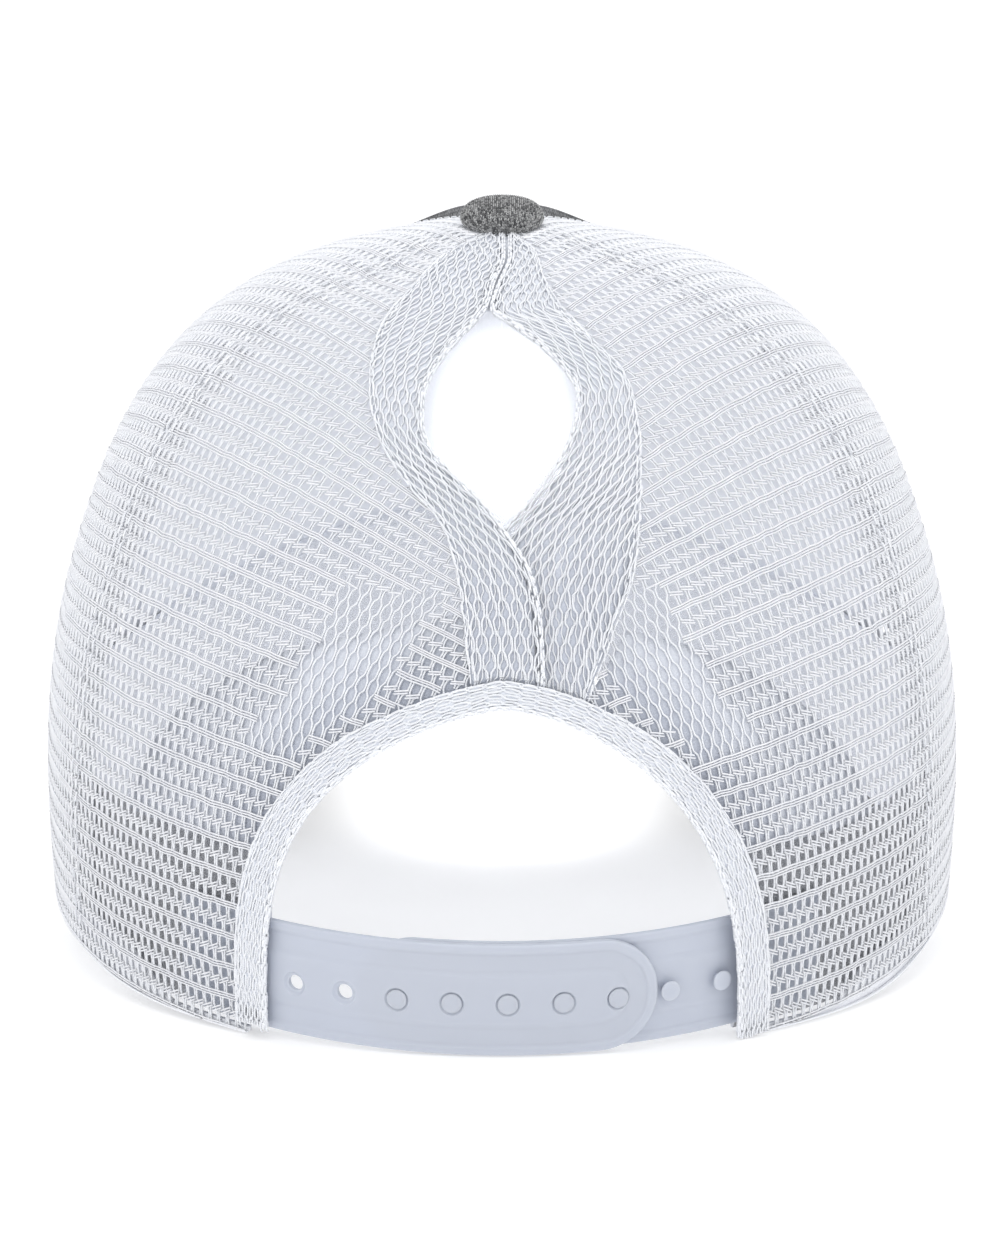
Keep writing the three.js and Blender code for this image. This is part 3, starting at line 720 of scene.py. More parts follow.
def yarn_look(name, dark, light):
    """Single stitches of heather yarn, each with its own tone."""
    look = Look(name, Roughness=0.9, Sheen_Weight=0.2)
    seed = look.cloth()[3]
    speck = look.noise(look.place(), 1500, 3.0)
    look.paint(look.total((seed, 0.55), (speck, 0.45)), (0.25, dark), (0.75, light))
    return look.bump(speck, 0.00004)


net_thread = thread_look("net_thread", (0.93, 0.945, 0.975), (0.9, 0.915, 0.955))
net_float = thread_look("net_float", (0.95, 0.955, 0.98), (0.9, 0.91, 0.95), twist=0)
net_stitch = thread_look("net_stitch", (0.95, 0.96, 0.985), (0.88, 0.9, 0.945))
pale_thread = thread_look("pale_thread", (0.86, 0.88, 0.93), (0.82, 0.84, 0.895))
grey_thread = thread_look("grey_thread", (0.46, 0.465, 0.48), (0.34, 0.345, 0.36))
net_core = fleece_look("net_core", (0.86, 0.875, 0.925), (0.94, 0.95, 0.98))
# Inner layers of the ponytail strips, a real folded layer, drawn grey-blue, darker below 0.062 m and paler
# above 0.14 m: painted shade for the cells seen through the net.
strip_core_painted_shade = fleece_look("strip_core_painted_shade", (0.57, 0.6, 0.675), (0.79, 0.815, 0.87), painted_shade_levels=(0.062, 0.14))
# Sheet behind the net round the arch: its grey-blue tone, darkest at the arch and paler 17 mm out, is
# painted shade.
facing_painted_shade = fleece_look(
    "facing_painted_shade", (0.52, 0.55, 0.625), (0.73, 0.755, 0.815), painted_shade_levels=(0, 17), sideways=True)
arch_core = fleece_look("arch_core", (0.6, 0.63, 0.7), (0.84, 0.86, 0.905), scale=0.8)
towelling = fleece_look("band_towelling", (0.8, 0.82, 0.88), (0.85, 0.87, 0.92), scale=1.6, depth=0.0003)
heather = knit_look("heather_knit", (0.025, 0.026, 0.029), (0.46, 0.465, 0.48), specks=0.62)
# The front panels' heather where it turns back under the net, drawn much darker than the heather itself:
# painted shade.
allowance_painted_shade_knit = knit_look("seam_tape_knit", (0.015, 0.016, 0.018), (0.13, 0.135, 0.15))
band_knit = knit_look("band_knit", (0.4, 0.41, 0.44), (0.74, 0.75, 0.785), wale=0.8, course=0.6)
front_inside = backing_painted_light_look()
button_ground = yarn_look("button_ground", (0.02, 0.021, 0.022), (0.06, 0.061, 0.064))
button_yarn = yarn_look("button_yarn", (0.06, 0.062, 0.066), (0.55, 0.55, 0.55))
plastic = strap_look()


# Edges of the openings, as turns at each rise

def centre_side(column, place):
    """Values of one column of the centre table, by a smooth curve through its rows."""
    known = np.array(CENTRE_EDGES, float)
    rises = known[:, 0]
    sides = known[:, CENTRE_COLUMNS.index(column)]
    step = np.diff(sides)
    rising = (sides[2:] - sides[:-2]) / (rises[2:] - rises[:-2])
    slope = np.pad(np.where(step[:-1] * step[1:] > 0, rising, 0), 1)
    row = np.clip(np.searchsorted(rises, place) - 1, 0, len(rises) - 2)
    length = rises[row + 1] - rises[row]
    t = np.clip((place - rises[row]) / length, 0, 1)
    pull = slope[row] * length * t * (1 - t) ** 2 + slope[row + 1] * length * t * t * (t - 1)
    return lerp(sides[row], sides[row + 1], smooth(t, 0, 1)) + pull


EDGE_DEGREES = np.arange(0, 88.01, 0.25)
EDGE_RISES = np.radians(EDGE_DEGREES)
CENTRE_TURNS = {
    column: turn_at_side(centre_side(column, EDGE_DEGREES), EDGE_RISES) for column in CENTRE_COLUMNS[1:]
}


def centre_turn(column, rise):
    return np.interp(rise, EDGE_RISES, CENTRE_TURNS[column])


def widened(edge, turn, rise):
    return {**edge, "turn": edge["turn"] + turn, "rise": edge["rise"] + rise}


ARCH_OUTER = {sign: widened(ARCH[sign], *ARCH_BINDING) for sign in ARCH}
ARCH_PANEL = {sign: widened(ARCH_OUTER[sign], ARCH_GAP, ARCH_GAP) for sign in ARCH}


def arch_turn(edge, rise):
    share = power(1 - power(rise / edge["rise"], edge["rise_power"]), 1 / edge["turn_power"])
    return edge["turn"] * share


def arch_rise(turn):
    """Rise of the panels' edge over the arch at a turn."""
    found = 0
    for sign, edge in ARCH_PANEL.items():
        share = power(1 - power(abs(turn) / edge["turn"], edge["turn_power"]), 1 / edge["rise_power"])
        found = found + np.where(np.sign(turn + 1e-9) == sign, edge["rise"] * share, 0)
    return found


def arch_band(sign, angle, across, near, far):
    """Turn and rise round one side of the arch, at a share of the way between two edges."""
    along = power(abs(np.cos(angle)), 2 / near["turn_power"])
    up = power(np.sin(angle), 2 / near["rise_power"])
    turn = sign * along * lerp(near["turn"], far["turn"], across)
    return turn, up * lerp(near["rise"], far["rise"], across)


def inner_edge(sign, rise):
    """Turn outward of the centre edge of a back panel: the arch below, the ponytail opening above."""
    centre = centre_turn("left_panel" if sign > 0 else "right_panel", rise)
    return np.maximum(arch_turn(ARCH_PANEL[sign], rise), sign * centre)


# Net. Its rows are geodesics square to the grain meridian. u runs along a row towards the middle of
# the back, v up the meridian from the rim

def on_crown(points, turn, rise):
    """Nearest places on the crown to points, from a close guess."""
    step = 1e-4
    for _ in range(3):
        here = crown_base(turn, rise)
        by_turn = (crown_base(turn + step, rise) - here) / step
        by_rise = (crown_base(turn, rise + step) - here) / step
        miss = points - here
        a = (by_turn * by_turn).sum(-1)
        b = (by_turn * by_rise).sum(-1)
        c = (by_rise * by_rise).sum(-1)
        d = (by_turn * miss).sum(-1)
        e = (by_rise * miss).sum(-1)
        size = np.maximum(a * c - b * b, 1e-9)
        turn = turn + (d * c - e * b) / size
        rise = rise + (e * a - d * b) / size
    return turn, rise


def lattice(sign):
    """Points, outward directions, turns and rises of the net's lattice on one side."""
    fine = np.linspace(0, rad(89.3), 600)
    grain = np.full(ROWS, sign * GRAIN_TURN)
    start = np.interp(np.arange(ROWS) * ROW, distances(crown_base(sign * GRAIN_TURN, fine)), fine)
    low, high = U_STEPS
    turns = np.zeros((ROWS, high - low + 1))
    rises = np.zeros_like(turns)
    for direction, steps in ((1, high), (-1, -low)):
        turn, rise = grain, start
        place = crown_base(turn, rise)
        up = crown_base(turn, rise + 1e-4) - place
        ahead = unit(np.cross(up, crown_normal(turn, rise))) * sign * direction
        for step in range(steps + 1):
            turns[:, direction * step - low] = turn
            rises[:, direction * step - low] = rise
            turn, rise = on_crown(place + ahead * U_STEP, turn, rise)
            place = crown_base(turn, rise)
            normal = crown_normal(turn, rise)
            ahead = unit(ahead - normal * (ahead * normal).sum(-1, keepdims=True))
    return (*crown(turns, rises, 0), turns, rises)


def crown_place(sign):
    """The place() of the net that both panels of one side are cut from."""
    tables = lattice(sign)
    low, high = U_STEPS

    def place(u, v):
        i = np.clip(u / U_STEP - low, 0, high - low - 1e-6)
        j = np.clip(v / ROW, 0, ROWS - 1 - 1e-6)
        return [table_at(table, i, j) for table in tables]

    return place


class Net:
    """A sheet of net. place(u, v) gives points on its outer face, their outward directions and the
    turns and rises there."""

    def __init__(self, place, jitter=0.1, bounds=None):
        self.place = place
        self.bounds = bounds
        self.slack = rng.normal(0, jitter, SLACK_SIZE)

    def strands(self, pile, u, v, depth, keep, half, material=0):
        """Adds strands through rows of (u, v), moved by the net's small unevenness, whose middles
        pass keep(turn, rise, points)."""
        rows, columns, _ = SLACK_SIZE
        shift = table_at(self.slack, (u / COLUMN) % (columns - 2), (v / ROW) % (rows - 2))
        u = u + shift[..., 0]
        v = v + shift[..., 1]
        middle = u.shape[1] // 2
        points, _, turns, rises = self.place(u[:, middle], v[:, middle])
        kept = keep(turns, rises, points)
        if self.bounds:
            kept = kept & self.bounds(u, v).all(1)
        points, normals, _, _ = self.place(u[kept], v[kept])
        depth = np.broadcast_to(depth, u.shape)[kept]
        pile.tubes(points - normals * depth[..., None], normals, half, half, 3, material, closed=False)

    def weave(self, pile, rows, columns, keep, keep_floats=None, depth=NET_DEPTH, shift=(0, 0),
              half=STRAND_HALF):
        """Zigzag columns that part into holes between rows, with the straight and slanting threads
        between rows that pass keep_floats."""
        row, column = np.meshgrid(np.arange(*rows), np.arange(*columns), indexing="ij")
        row = row.reshape(-1, 1)
        column = column.reshape(-1, 1)
        t = np.array([0, 0.35, 0.65, 1])
        cross = smooth(t, *CROSSING)
        for way in (1, -1):
            beside = way * (COLUMN / 2 * cross + STRAND_APART * (1 - 2 * cross))
            u = (column + 0.5 * (row % 2)) * COLUMN + beside + shift[0]
            v = (row + 0.5 + t) * ROW + shift[1]
            self.strands(pile, u, v, depth + way * STRAND_SINK * np.sin(math.pi * cross), keep, half)
        if not keep_floats:
            return
        for parity, ends, slant, asides in FLOATS:
            here = row[:, 0] % 2 == parity
            along = np.array(ends) * COLUMN
            for aside in asides:
                u = column[here] * COLUMN + along * math.cos(slant) + shift[0]
                v = row[here] * ROW + along * math.sin(slant) + aside + shift[1]
                self.strands(pile, u, v, depth - FLOAT_RAISED, keep_floats, FLOAT_HALF, 1)


# Lines of stitches. Those beside a seam have the rises between which they run, a depth and the
# distances from the seam. Those along a strip have a distance in, a depth, a material, whether they
# are measured from the panel's edge, and their sizes; the last two are the small bumps of its edge

NET_SEAM_LINES = (rad(1), rad(84), 0.05, (1.3,))
FRONT_SEAM_LINES = (rad(6), rad(72), 0.02, (2.0, 6.5))
CENTRE_SEAM_LINE = (rad(10), rad(72), 0.02, (2.0,))
VISOR_STITCH = {"pitch": 3.2, "length": 2.6, "half": 0.28}
BAND_STITCH = {"pitch": 3, "length": 2.3}
BUMP = {"length": 1.5, "half": 0.24, "lift": 0.16}
STRIP_LINES = [
    (1.1, 0.12, 2, False, {"half": 0.15}),
    (0.2, 0.35, 0, True, {"pitch": 2.2, "length": 2.0, "half": 0.15}),
    (1.0, 0.12, 2, True, {"half": 0.15}),
    (0.15, 0.5, 0, False, {"pitch": 1.9, **BUMP}),
    (0.55, 0.2, 0, False, {"pitch": 2.3, **BUMP}),
]


def stitch_line(pile, line, material, pitch=2.7, length=2.1, half=0.21, lift=0.12):
    """Stitches along a line of points and normals, their ends sunk into the cloth."""
    gone = distances(line[0])
    count = int((gone[-1] - length) / pitch)
    if count < 1:
        return
    starts = np.arange(count) * pitch + (gone[-1] - (count - 1) * pitch - length) / 2
    at = starts[:, None] + np.array([0, 0.2, 0.8, 1]) * length
    points, normals = (np.stack([np.interp(at, gone, axis) for axis in part.T], -1) for part in line)
    rise = lift * np.array([-2, 0.9, 0.9, -2])[:, None]
    pile.tubes(points + normals * rise, unit(normals), half, half * 0.8, 4, material)


def seam_stitches(pile, seam, sign, way, rise_from, rise_to, depth, asides):
    """Lines of stitches beside a seam, at distances from it."""
    rises = np.linspace(rise_from, rise_to, 160)
    for aside in asides:
        turns = sign * seam(rises) + way * aside / np.maximum(from_axis(seam(rises), rises), 4)
        stitch_line(pile, crown(turns, rises, depth), 2)


# Net panels

def hem(pile, turns):
    """Turned-in edge of the net along the rim, and the threads that gather it there."""
    turn = turns[:, None] * np.ones(8)
    height = lerp(*HEM_HEIGHTS, smooth(abs(signed(turn)), *HEM_TURNS))
    pile.layer(turn, rise_over_rim(turn, 0.15 + np.linspace(0, 1, 8) * height), HEM_DEPTHS, (3, 3, 3))
    for height, depth, half in RIM_CORDS:
        points, normals = crown(turns, rise_over_rim(turns, height), depth)
        pile.tubes(points[None], normals[None], half, half, 6, 2)


def bare_by_arch(turns, rises):
    """Patches beside the strips' feet where the photograph shows no straight threads."""
    sign = 1 if turns.mean() > 0 else -1
    edge = widened(ARCH_PANEL[sign], *BARE_START)
    height = crown_base(turns, rises)[..., 2]
    near, far = (np.interp(height, BARE_HEIGHTS, limits) for limits in (BARE_FROM, BARE_TO))
    turns = abs(turns)
    beyond = (turns > arch_turn(edge, np.minimum(rises, edge["rise"]))) | (rises > edge["rise"])
    level = (height > BARE_HEIGHTS[0]) & (height < BARE_HEIGHTS[-1])
    return beyond & level & (turns > near) & (turns < far)


def arch_facing(pile, sign):
    """Strip of cloth turned in behind the net round the arched opening, drawn grey-blue and darker near the
    arch as painted shade for the cells seen through the net.
    """
    angle = np.linspace(FACING_START[sign], FACING_END, 40)
    across = np.linspace(0, 1, 7)[:, None]
    edge = ARCH_PANEL[sign]
    turn, rise = arch_band(sign, angle, across, widened(edge, *FACING_TUCK), widened(edge, *FACING_WIDTH))
    rise = np.maximum(rise, rise_over_rim(turn, BAND_HEIGHT + 0.5))
    pile.layer(turn, rise, FACING_DEPTHS, (4, 4, 4), 0)


def net_panel(name, sign, net, first, second, columns, seams, half=STRAND_HALF, facing=False):
    """One net panel between two edges, given as turns outward at each rise. seams are the turns of
    the seams along which the cloth is doubled."""
    pile = Pile()

    def cover(part):
        """Where one part of the panel's net lies."""
        def keep(turns, rises, points):
            out = sign * turns
            radius = np.hypot(*points[..., :2].T)
            inside = (out > first(rises)) & (out < second(rises)) & (rises < TOP_RISE)
            inside = inside & (points[..., 2] > rim_height(turns) + 0.2)
            thin = abs(out - front_seam(rises)) * radius < np.interp(rises, *zip(*THIN_NET_WIDTHS))
            if part == "thin":
                return inside & thin
            if part == "doubled":
                beside = [abs(out - seam(rises)) * radius < DOUBLED_REACH for seam in seams]
                return inside & np.any(beside, 0) & (out < DOUBLED_END)
            if part == "floats" and facing:
                inside = inside & ~bare_by_arch(turns, rises)
            return inside & ~thin
        return keep

    net.weave(pile, PANEL_ROWS, columns, cover("whole"), cover("floats"), half=half)
    net.weave(pile, PANEL_ROWS, columns, cover("thin"), half=THIN_NET_HALF)
    if facing:
        arch_facing(pile, sign)
    doubled = cover("doubled")
    net.weave(pile, PANEL_ROWS, columns, doubled, doubled, DOUBLED_DEPTH, DOUBLED_SHIFT, half)
    hem(pile, sign * np.linspace(float(first(0.0)), float(second(0.0)), 90))
    for seam in seams:
        toward = sign if seam(0.0) <= first(0.0) + rad(1) else -sign
        seam_stitches(pile, seam, sign, toward, *NET_SEAM_LINES)
    build(name, pile, [net_thread, net_float, net_stitch, net_core, facing_painted_shade])


def net_side(sign, side):
    net = Net(crown_place(sign))
    seam = fixed(BACK_SEAM_TURN)
    centre = lambda rise: inner_edge(sign, rise) - TUCK
    back_end = fixed(BACK_SEAM_TURN - SEAM_GAP)
    net_panel(f"back_mesh_{side}_net", sign, net, centre, back_end, BACK_COLUMNS, [seam], facing=True)
    side_start = fixed(BACK_SEAM_TURN + SEAM_GAP)
    side_end = lambda rise: front_seam(rise) - SEAM_GAP
    name = f"side_mesh_{side}_net"
    seams = [seam, front_seam]
    net_panel(name, sign, net, side_start, side_end, SIDE_COLUMNS, seams, SIDE_STRAND_HALF)


net_side(1, "left")
net_side(-1, "right")


# Folded strips of net round the openings

class Strip:
    """A strip of net folded along its free edge. surface(along, across) gives turns and rises, along
    from start to 1 and across from 0 at the free edge to 1 at the panel. outer(turn, rise) is the
    depth of its face."""

    def __init__(self, surface, outer, start=0.0):
        self.surface = surface
        self.outer = outer
        self.along = np.linspace(start, 1, 400)
        edge, middle, panel = (self.points(self.along, across * np.ones(400))[0] for across in (0, 0.5, 1))
        self.gone = distances(middle)
        self.length = self.gone[-1]
        self.width = np.linalg.norm(edge - panel, axis=-1)
        self.columns = math.ceil((self.width.max() + FOLD) / COLUMN)

    def points(self, along, across, depth=0):
        turn, rise = self.surface(along, across)
        return (*crown(turn, rise, self.outer(turn, rise) + depth), turn, rise)

    def folded(self, u):
        """Distance in from the free edge and angle round the fold at u, which runs from the fold
        over the outer face, and the other way over the inner face."""
        half = FOLD / 2
        angle = np.clip(abs(u) / half, 0, math.pi / 2)
        inward = half * (1 - np.cos(angle)) + np.clip(abs(u) - half * math.pi / 2, 0, None)
        return inward, angle * np.sign(u)

    def place(self, u, v):
        along = np.interp(v, self.gone, self.along)
        width = np.interp(v, self.gone, self.width)
        inward, angle = self.folded(u)
        across = np.minimum(inward / width, 1)
        depth = FOLD / 2 * (1 - np.sin(angle))
        points, normals, turn, rise = self.points(along, across, depth)
        outward = unit(self.points(along, across - 0.02, depth)[0] - points)
        facing = normals * np.sin(angle)[..., None] + outward * np.cos(angle)[..., None]
        return points, unit(facing), turn, rise

    def bounds(self, u, v):
        width = np.interp(v, self.gone, self.width)
        return (self.folded(u)[0] < width + 0.6) & (v > -0.3) & (v < self.length + 0.3)


def seam_tape(pile):
    """Tape under the gap where both strips meet below the button."""
    rise = np.linspace(*TAPE_RISES, 30) * np.ones((7, 1))
    middle = (centre_turn("left_edge", rise) + centre_turn("right_edge", rise)) / 2
    turn = middle + np.linspace(-1, 1, 7)[:, None] * TAPE_HALF / from_axis(middle, rise)
    pile.layer(turn, rise, TAPE_DEPTHS, (3, 3, 3))


def strip_piece(name, strip, half, core, dense=False, core_depth=0.65, tape=False):
    """One strip with its net, its core, its stitches and the small bumps of its free edge."""
    pile = Pile()
    net = Net(strip.place, 0.2, strip.bounds)
    rows = (-1, math.ceil(strip.length / ROW) + 1)
    columns = (-strip.columns, strip.columns)

    def whole(turns, rises, points):
        return rises < TOP_RISE - rad(0.1)

    net.weave(pile, rows, columns, whole, None, 0.2, half=half)
    if dense:
        net.weave(pile, rows, columns, whole, None, 0.3, (COLUMN / 2, 0), half)
    else:
        net.weave(pile, rows, (0, strip.columns), whole, None, *UNDER_NET)
    across = np.linspace(0.12, 0.98, 9)
    along = np.linspace(strip.along[0] + 0.004, 0.996, 160)[:, None] * np.ones(9)
    outer, inner = (strip.points(along, across, depth)[0] for depth in (core_depth, 1.0))
    pile.wall(outer, inner, (3, 3, 3))
    for distance, depth, material, from_panel, sizes in STRIP_LINES:
        across = distance / strip.width
        line = strip.points(strip.along, 1 - across if from_panel else across, depth)[:2]
        stitch_line(pile, line, material, **sizes)
    if tape:
        seam_tape(pile)
    build(name, pile, [net_thread, net_float, net_stitch, core])


def ponytail_strip(side, drop):
    top = ARCH_PANEL[1]["rise"]

    def turn_at(across, rise):
        return lerp(centre_turn(f"{side}_edge", rise), centre_turn(f"{side}_panel", rise), across)

    def surface(along, across):
        foot = np.full(np.shape(across), top)
        for _ in range(6):
            foot = arch_rise(turn_at(across, foot)) + ARCH_GAP
        rise = lerp(top, TOP_RISE, along) - (top - foot) * power(1 - along, FOOT_DEEPENING)
        return turn_at(across, rise), rise

    def outer(turn, rise):
        x = crown_base(turn, rise)[..., 0]
        sunk = drop * smooth(x, *OVERLAP_SIDE) * (1 - smooth(rise, *OVERLAP_RISE))
        under_arch = FOOT_DROP * smooth(arch_rise(turn) + ARCH_GAP - rise, 0, FOOT_BLEND)
        return sunk + under_arch - BINDING_PROUD * (1 - smooth(rise, *PROUD_END))

    return Strip(surface, outer, FOOT_START)


def arch_surface(along, across):
    angle = math.pi * along
    left, right = (arch_band(sign, angle, across, ARCH[sign], ARCH_OUTER[sign]) for sign in (1, -1))
    return [np.where(np.cos(angle) >= 0, *both) for both in zip(left, right)]


arch_strip = Strip(arch_surface, lambda turn, rise: -BINDING_PROUD)
strip_piece("ponytail_binding_left_net", ponytail_strip("left", 0), 0.23, strip_core_painted_shade, tape=True)
strip_piece("ponytail_binding_right_net", ponytail_strip("right", OVERLAP_DROP), 0.23, strip_core_painted_shade)
strip_piece("arch_binding_net", arch_strip, 0.27, arch_core, True, 0.36)


# Front panels

def seam_allowance(pile, sign):
    """Dark edge of the front panel turned back under the net along the rear seam, its heather drawn darker
    still as painted shade.
    """
    known, widths = zip(*ALLOWANCE_WIDTHS)
    rise = np.linspace(known[0], known[-1], 70) * np.ones((6, 1))
    seam = front_seam(rise)
    back = np.linspace(0, 1, 6)[:, None] * np.interp(rise, known, widths) / from_axis(seam, rise)
    pile.layer(sign * (seam - back), rise, ALLOWANCE_DEPTHS, (3, 1, 1))


def tent(turn, rise):
    """How far the front panels stand up round the button."""
    return TENT_HEIGHT * smooth(from_axis(turn, rise), *TENT_REACH)


def tent_edge(pile, sign):
    """Knit rear edge of a front panel beside the button."""
    rise = np.linspace(TENT_EDGE_RISE, TOP_RISE - rad(0.3), 40)[:, None] * np.ones(4)
    radius = from_axis(front_seam(rise), rise)
    turn = sign * (front_seam(rise) - 0.05 / radius)
    depth = lerp(-tent(turn, rise), 0.75, np.array([0, 0.33, 0.67, 1]))
    outer, inner = (crown(turn + ahead / radius, rise, depth)[0] for ahead in (0, sign * 0.3))
    pile.wall(outer, inner, (0, 0, 0))


def front_panel(sign, side):
    pile = Pile()
    across, up = np.meshgrid(*(np.linspace(0, 1, count) for count in FRONT_GRID), indexing="ij")
    rise = up * TOP_RISE
    gap = CENTRE_SEAM_GAP / 2 / from_axis(BACK_SEAM_TURN, rise)
    turn = sign * lerp(front_seam(rise) + gap, math.pi - gap, across)
    floor = rise_over_rim(turn, 0)
    rise = floor + rise * (TOP_RISE - floor) / TOP_RISE
    pile.layer(turn, rise, (-tent(turn, rise), FRONT_THICKNESS), (0, 1, 1, 0), -1)
    tent_edge(pile, sign)
    seam_allowance(pile, sign)
    seam_stitches(pile, front_seam, sign, sign, *FRONT_SEAM_LINES)
    seam_stitches(pile, fixed(math.pi), sign, -sign, *CENTRE_SEAM_LINE)
    materials = [heather, front_inside, grey_thread, allowance_painted_shade_knit]
    build(f"front_panel_{side}_knit", pile, materials, sharp=50)


front_panel(1, "left")
front_panel(-1, "right")


# Visor

def visor_bend(x, y):
    return (y + RIM_HALF_LENGTH) * VISOR_SLOPE - x * x / (2 * VISOR_BEND_RADIUS)


def visor_outline(count):
    """Outer edge of the visor at even distances, by a centripetal curve through its points."""
    half = [np.array([side, -forward]) for side, forward in VISOR_OUTLINE]
    points = half + [point * (-1, 1) for point in half[-2::-1]]
    points = [2 * points[0] - points[1]] + points + [2 * points[-1] - points[-2]]
    found = []
    for a, b, c, d in zip(points, points[1:], points[2:], points[3:]):
        knots = np.cumsum([0] + [math.dist(p, q) ** 0.5 for p, q in ((a, b), (b, c), (c, d))])
        t = np.linspace(knots[1], knots[2], 60)[:, None]
        ramp = lambda p, q, s, e: ((knots[e] - t) * p + (t - knots[s]) * q) / (knots[e] - knots[s])
        ab, bc, cd = ramp(a, b, 0, 1), ramp(b, c, 1, 2), ramp(c, d, 2, 3)
        found.append(ramp(ramp(ab, bc, 0, 2), ramp(bc, cd, 1, 3), 1, 2))
    line = np.concatenate(found)
    gone = distances(line)
    even = np.linspace(0, gone[-1], count)
    return np.stack([np.interp(even, gone, axis) for axis in line.T], -1)


def visor():
    pile = Pile()
    columns, rows = VISOR_GRID
    turn = VISOR_END_TURN + 2 * (math.pi - VISOR_END_TURN) * np.linspace(0, 1, columns)
    start = crown(turn, rise_over_rim(turn, 0), FRONT_THICKNESS)[0][:, :2]
    end = visor_outline(columns)
    root = rim_height(turn) - 0.02 - visor_bend(*start.T)

    def surface(out):
        x, y = (lerp(start[:, None, axis], end[:, None, axis], out) for axis in (0, 1))
        points = np.stack([x, y, root[:, None] + visor_bend(x, y)], -1)
        return points, unit(np.stack(together(x / VISOR_BEND_RADIUS, -VISOR_SLOPE + 0 * x, 1), -1))

    out = np.linspace(0, 1, rows)[None, :]
    points, normals = surface(out)
    reach = np.linalg.norm(end - start, axis=-1)
    from_edge = (1 - out) * reach[:, None]
    sunk = rounded(from_edge, VISOR_ROUND)
    for place in VISOR_ROWS:
        sunk = sunk + VISOR_GROOVE * np.exp(-(((from_edge - place) / 0.9) ** 2))
    top, bottom = (points - normals * deep[..., None] for deep in (sunk, VISOR_THICKNESS - sunk))
    pile.wall(top, bottom, (0, 0, 0, 2))
    for place in VISOR_ROWS:
        points, normals = surface((1 - place / np.maximum(reach, 12))[:, None])
        deep = reach > place + 5
        for way, depth in ((1, 0.25), (-1, VISOR_THICKNESS - 0.25)):
            line = (points[deep, 0] - normals[deep, 0] * depth, way * normals[deep, 0])
            stitch_line(pile, line, 1, **VISOR_STITCH)
    build("visor_knit", pile, [heather, grey_thread, front_inside], sharp=60)


visor()


# Sweatband

def sweatband():
    pile = Pile()
    turn = BAND_END_TURN + 2 * (math.pi - BAND_END_TURN) * np.linspace(0, 1, 200)
    up = np.concatenate([[0, 0.015, 0.034], np.linspace(0.12, 0.88, 5), [0.966, 0.985, 1]])
    turn = turn[:, None] * np.ones(len(up))
    back = 1 - smooth(abs(signed(turn)), *BAND_BACK)
    depth = lerp(BAND_DEPTH["front"], BAND_DEPTH["back"], back)
    edge = np.clip(1 - np.minimum(up, 1 - up) * BAND_HEIGHT / 1.2, 0, 1)
    rounding = 0.5 * edge**2
    backed = smooth(abs(signed(turn)), FRONT_SEAM_TURN, FRONT_SEAM_TURN + rad(6)) * (up > 0.5)
    face = depth + rounding * (1 - backed) - (depth - FRONT_THICKNESS) * backed * edge
    depths = (face, depth + BAND_THICKNESS - rounding)
    pile.layer(turn, rise_over_rim(turn, BAND_HEIGHT * up), depths, (0, 1, 1))
    turn = turn[:, 0]
    for height in BAND_ROWS:
        points, normals = crown(turn, rise_over_rim(turn, height), depth[:, 0] + BAND_THICKNESS)
        stitch_line(pile, (points[2:-2], -normals[2:-2]), 2, **BAND_STITCH)
    build("sweatband_knit", pile, [band_knit, towelling, pale_thread], sharp=60)


sweatband()


# Button

def button():
    pile = Pile()
    angle = np.linspace(rad(-50), math.pi / 2, 50)
    edge = button_seat(BUTTON_RADIUS) + BUTTON_EDGE
    waist = edge + BUTTON_WAIST
    dome = edge + BUTTON_HEIGHT - BUTTON_KNIT - waist
    radius = (BUTTON_RADIUS - BUTTON_INSET) * power(np.cos(angle), BUTTON_FULLNESS)
    radius[-1] = 0.02
    height = waist + np.where(angle > 0, dome, BUTTON_UNDER) * np.sin(angle)
    under = np.linspace(0.02, radius[0] - 0.1, 10)
    along = np.concatenate([under, radius])
    up = np.concatenate([button_seat(under), height])
    around = circle(96)[:, None]
    pile.turned(np.stack(np.broadcast_arrays(along * np.cos(around), along * np.sin(around), up), -1))
    outline = np.stack([radius, height], -1)[::-1]
    reach = distances(outline)
    slope = np.gradient(outline, reach, axis=0)
    i, j = np.meshgrid(np.arange(-18, 19), np.arange(-23, 24), indexing="ij")
    t = np.array([-0.5, -0.2, 0.2, 0.5])
    lift = 0.1 * np.array([0.2, 1, 1, 0.2])[:, None]
    for way in (1, -1):
        x = i.reshape(-1, 1) * WALE + way * (0.17 + 0.13 * t)
        y = j.reshape(-1, 1) * COURSE + t * COURSE * 0.9
        far = np.hypot(x, y)
        kept = far.max(1) < reach[-1]
        bearing = np.arctan2(y, x)[kept]
        place, tilt = ([np.interp(far[kept], reach, part) for part in line.T] for line in (outline, slope))
        points = np.stack([place[0] * np.cos(bearing), place[0] * np.sin(bearing), place[1]], -1)
        normals = np.stack([-tilt[1] * np.cos(bearing), -tilt[1] * np.sin(bearing), tilt[0]], -1)
        pile.tubes(points + normals * lift, unit(normals), 0.15, 0.12, 3, 1)
    build("button_knit", pile, [button_ground, button_yarn])


button()


# Snap strap

strap_turns = np.radians(np.arange(-140, 141) / 2)
strap_rise = rise_at_height(0, STRAP_BOTTOM + STRAP_HEIGHT / 2)
strap_gone = distances(crown(strap_turns, strap_rise, OUTER_STRAP["depth"])[0])
strap_gone = strap_gone - strap_gone[140]


def strap_point(length, height, depth):
    turn = np.interp(length, strap_gone, strap_turns)
    return crown(turn, rise_at_height(turn, height), depth)


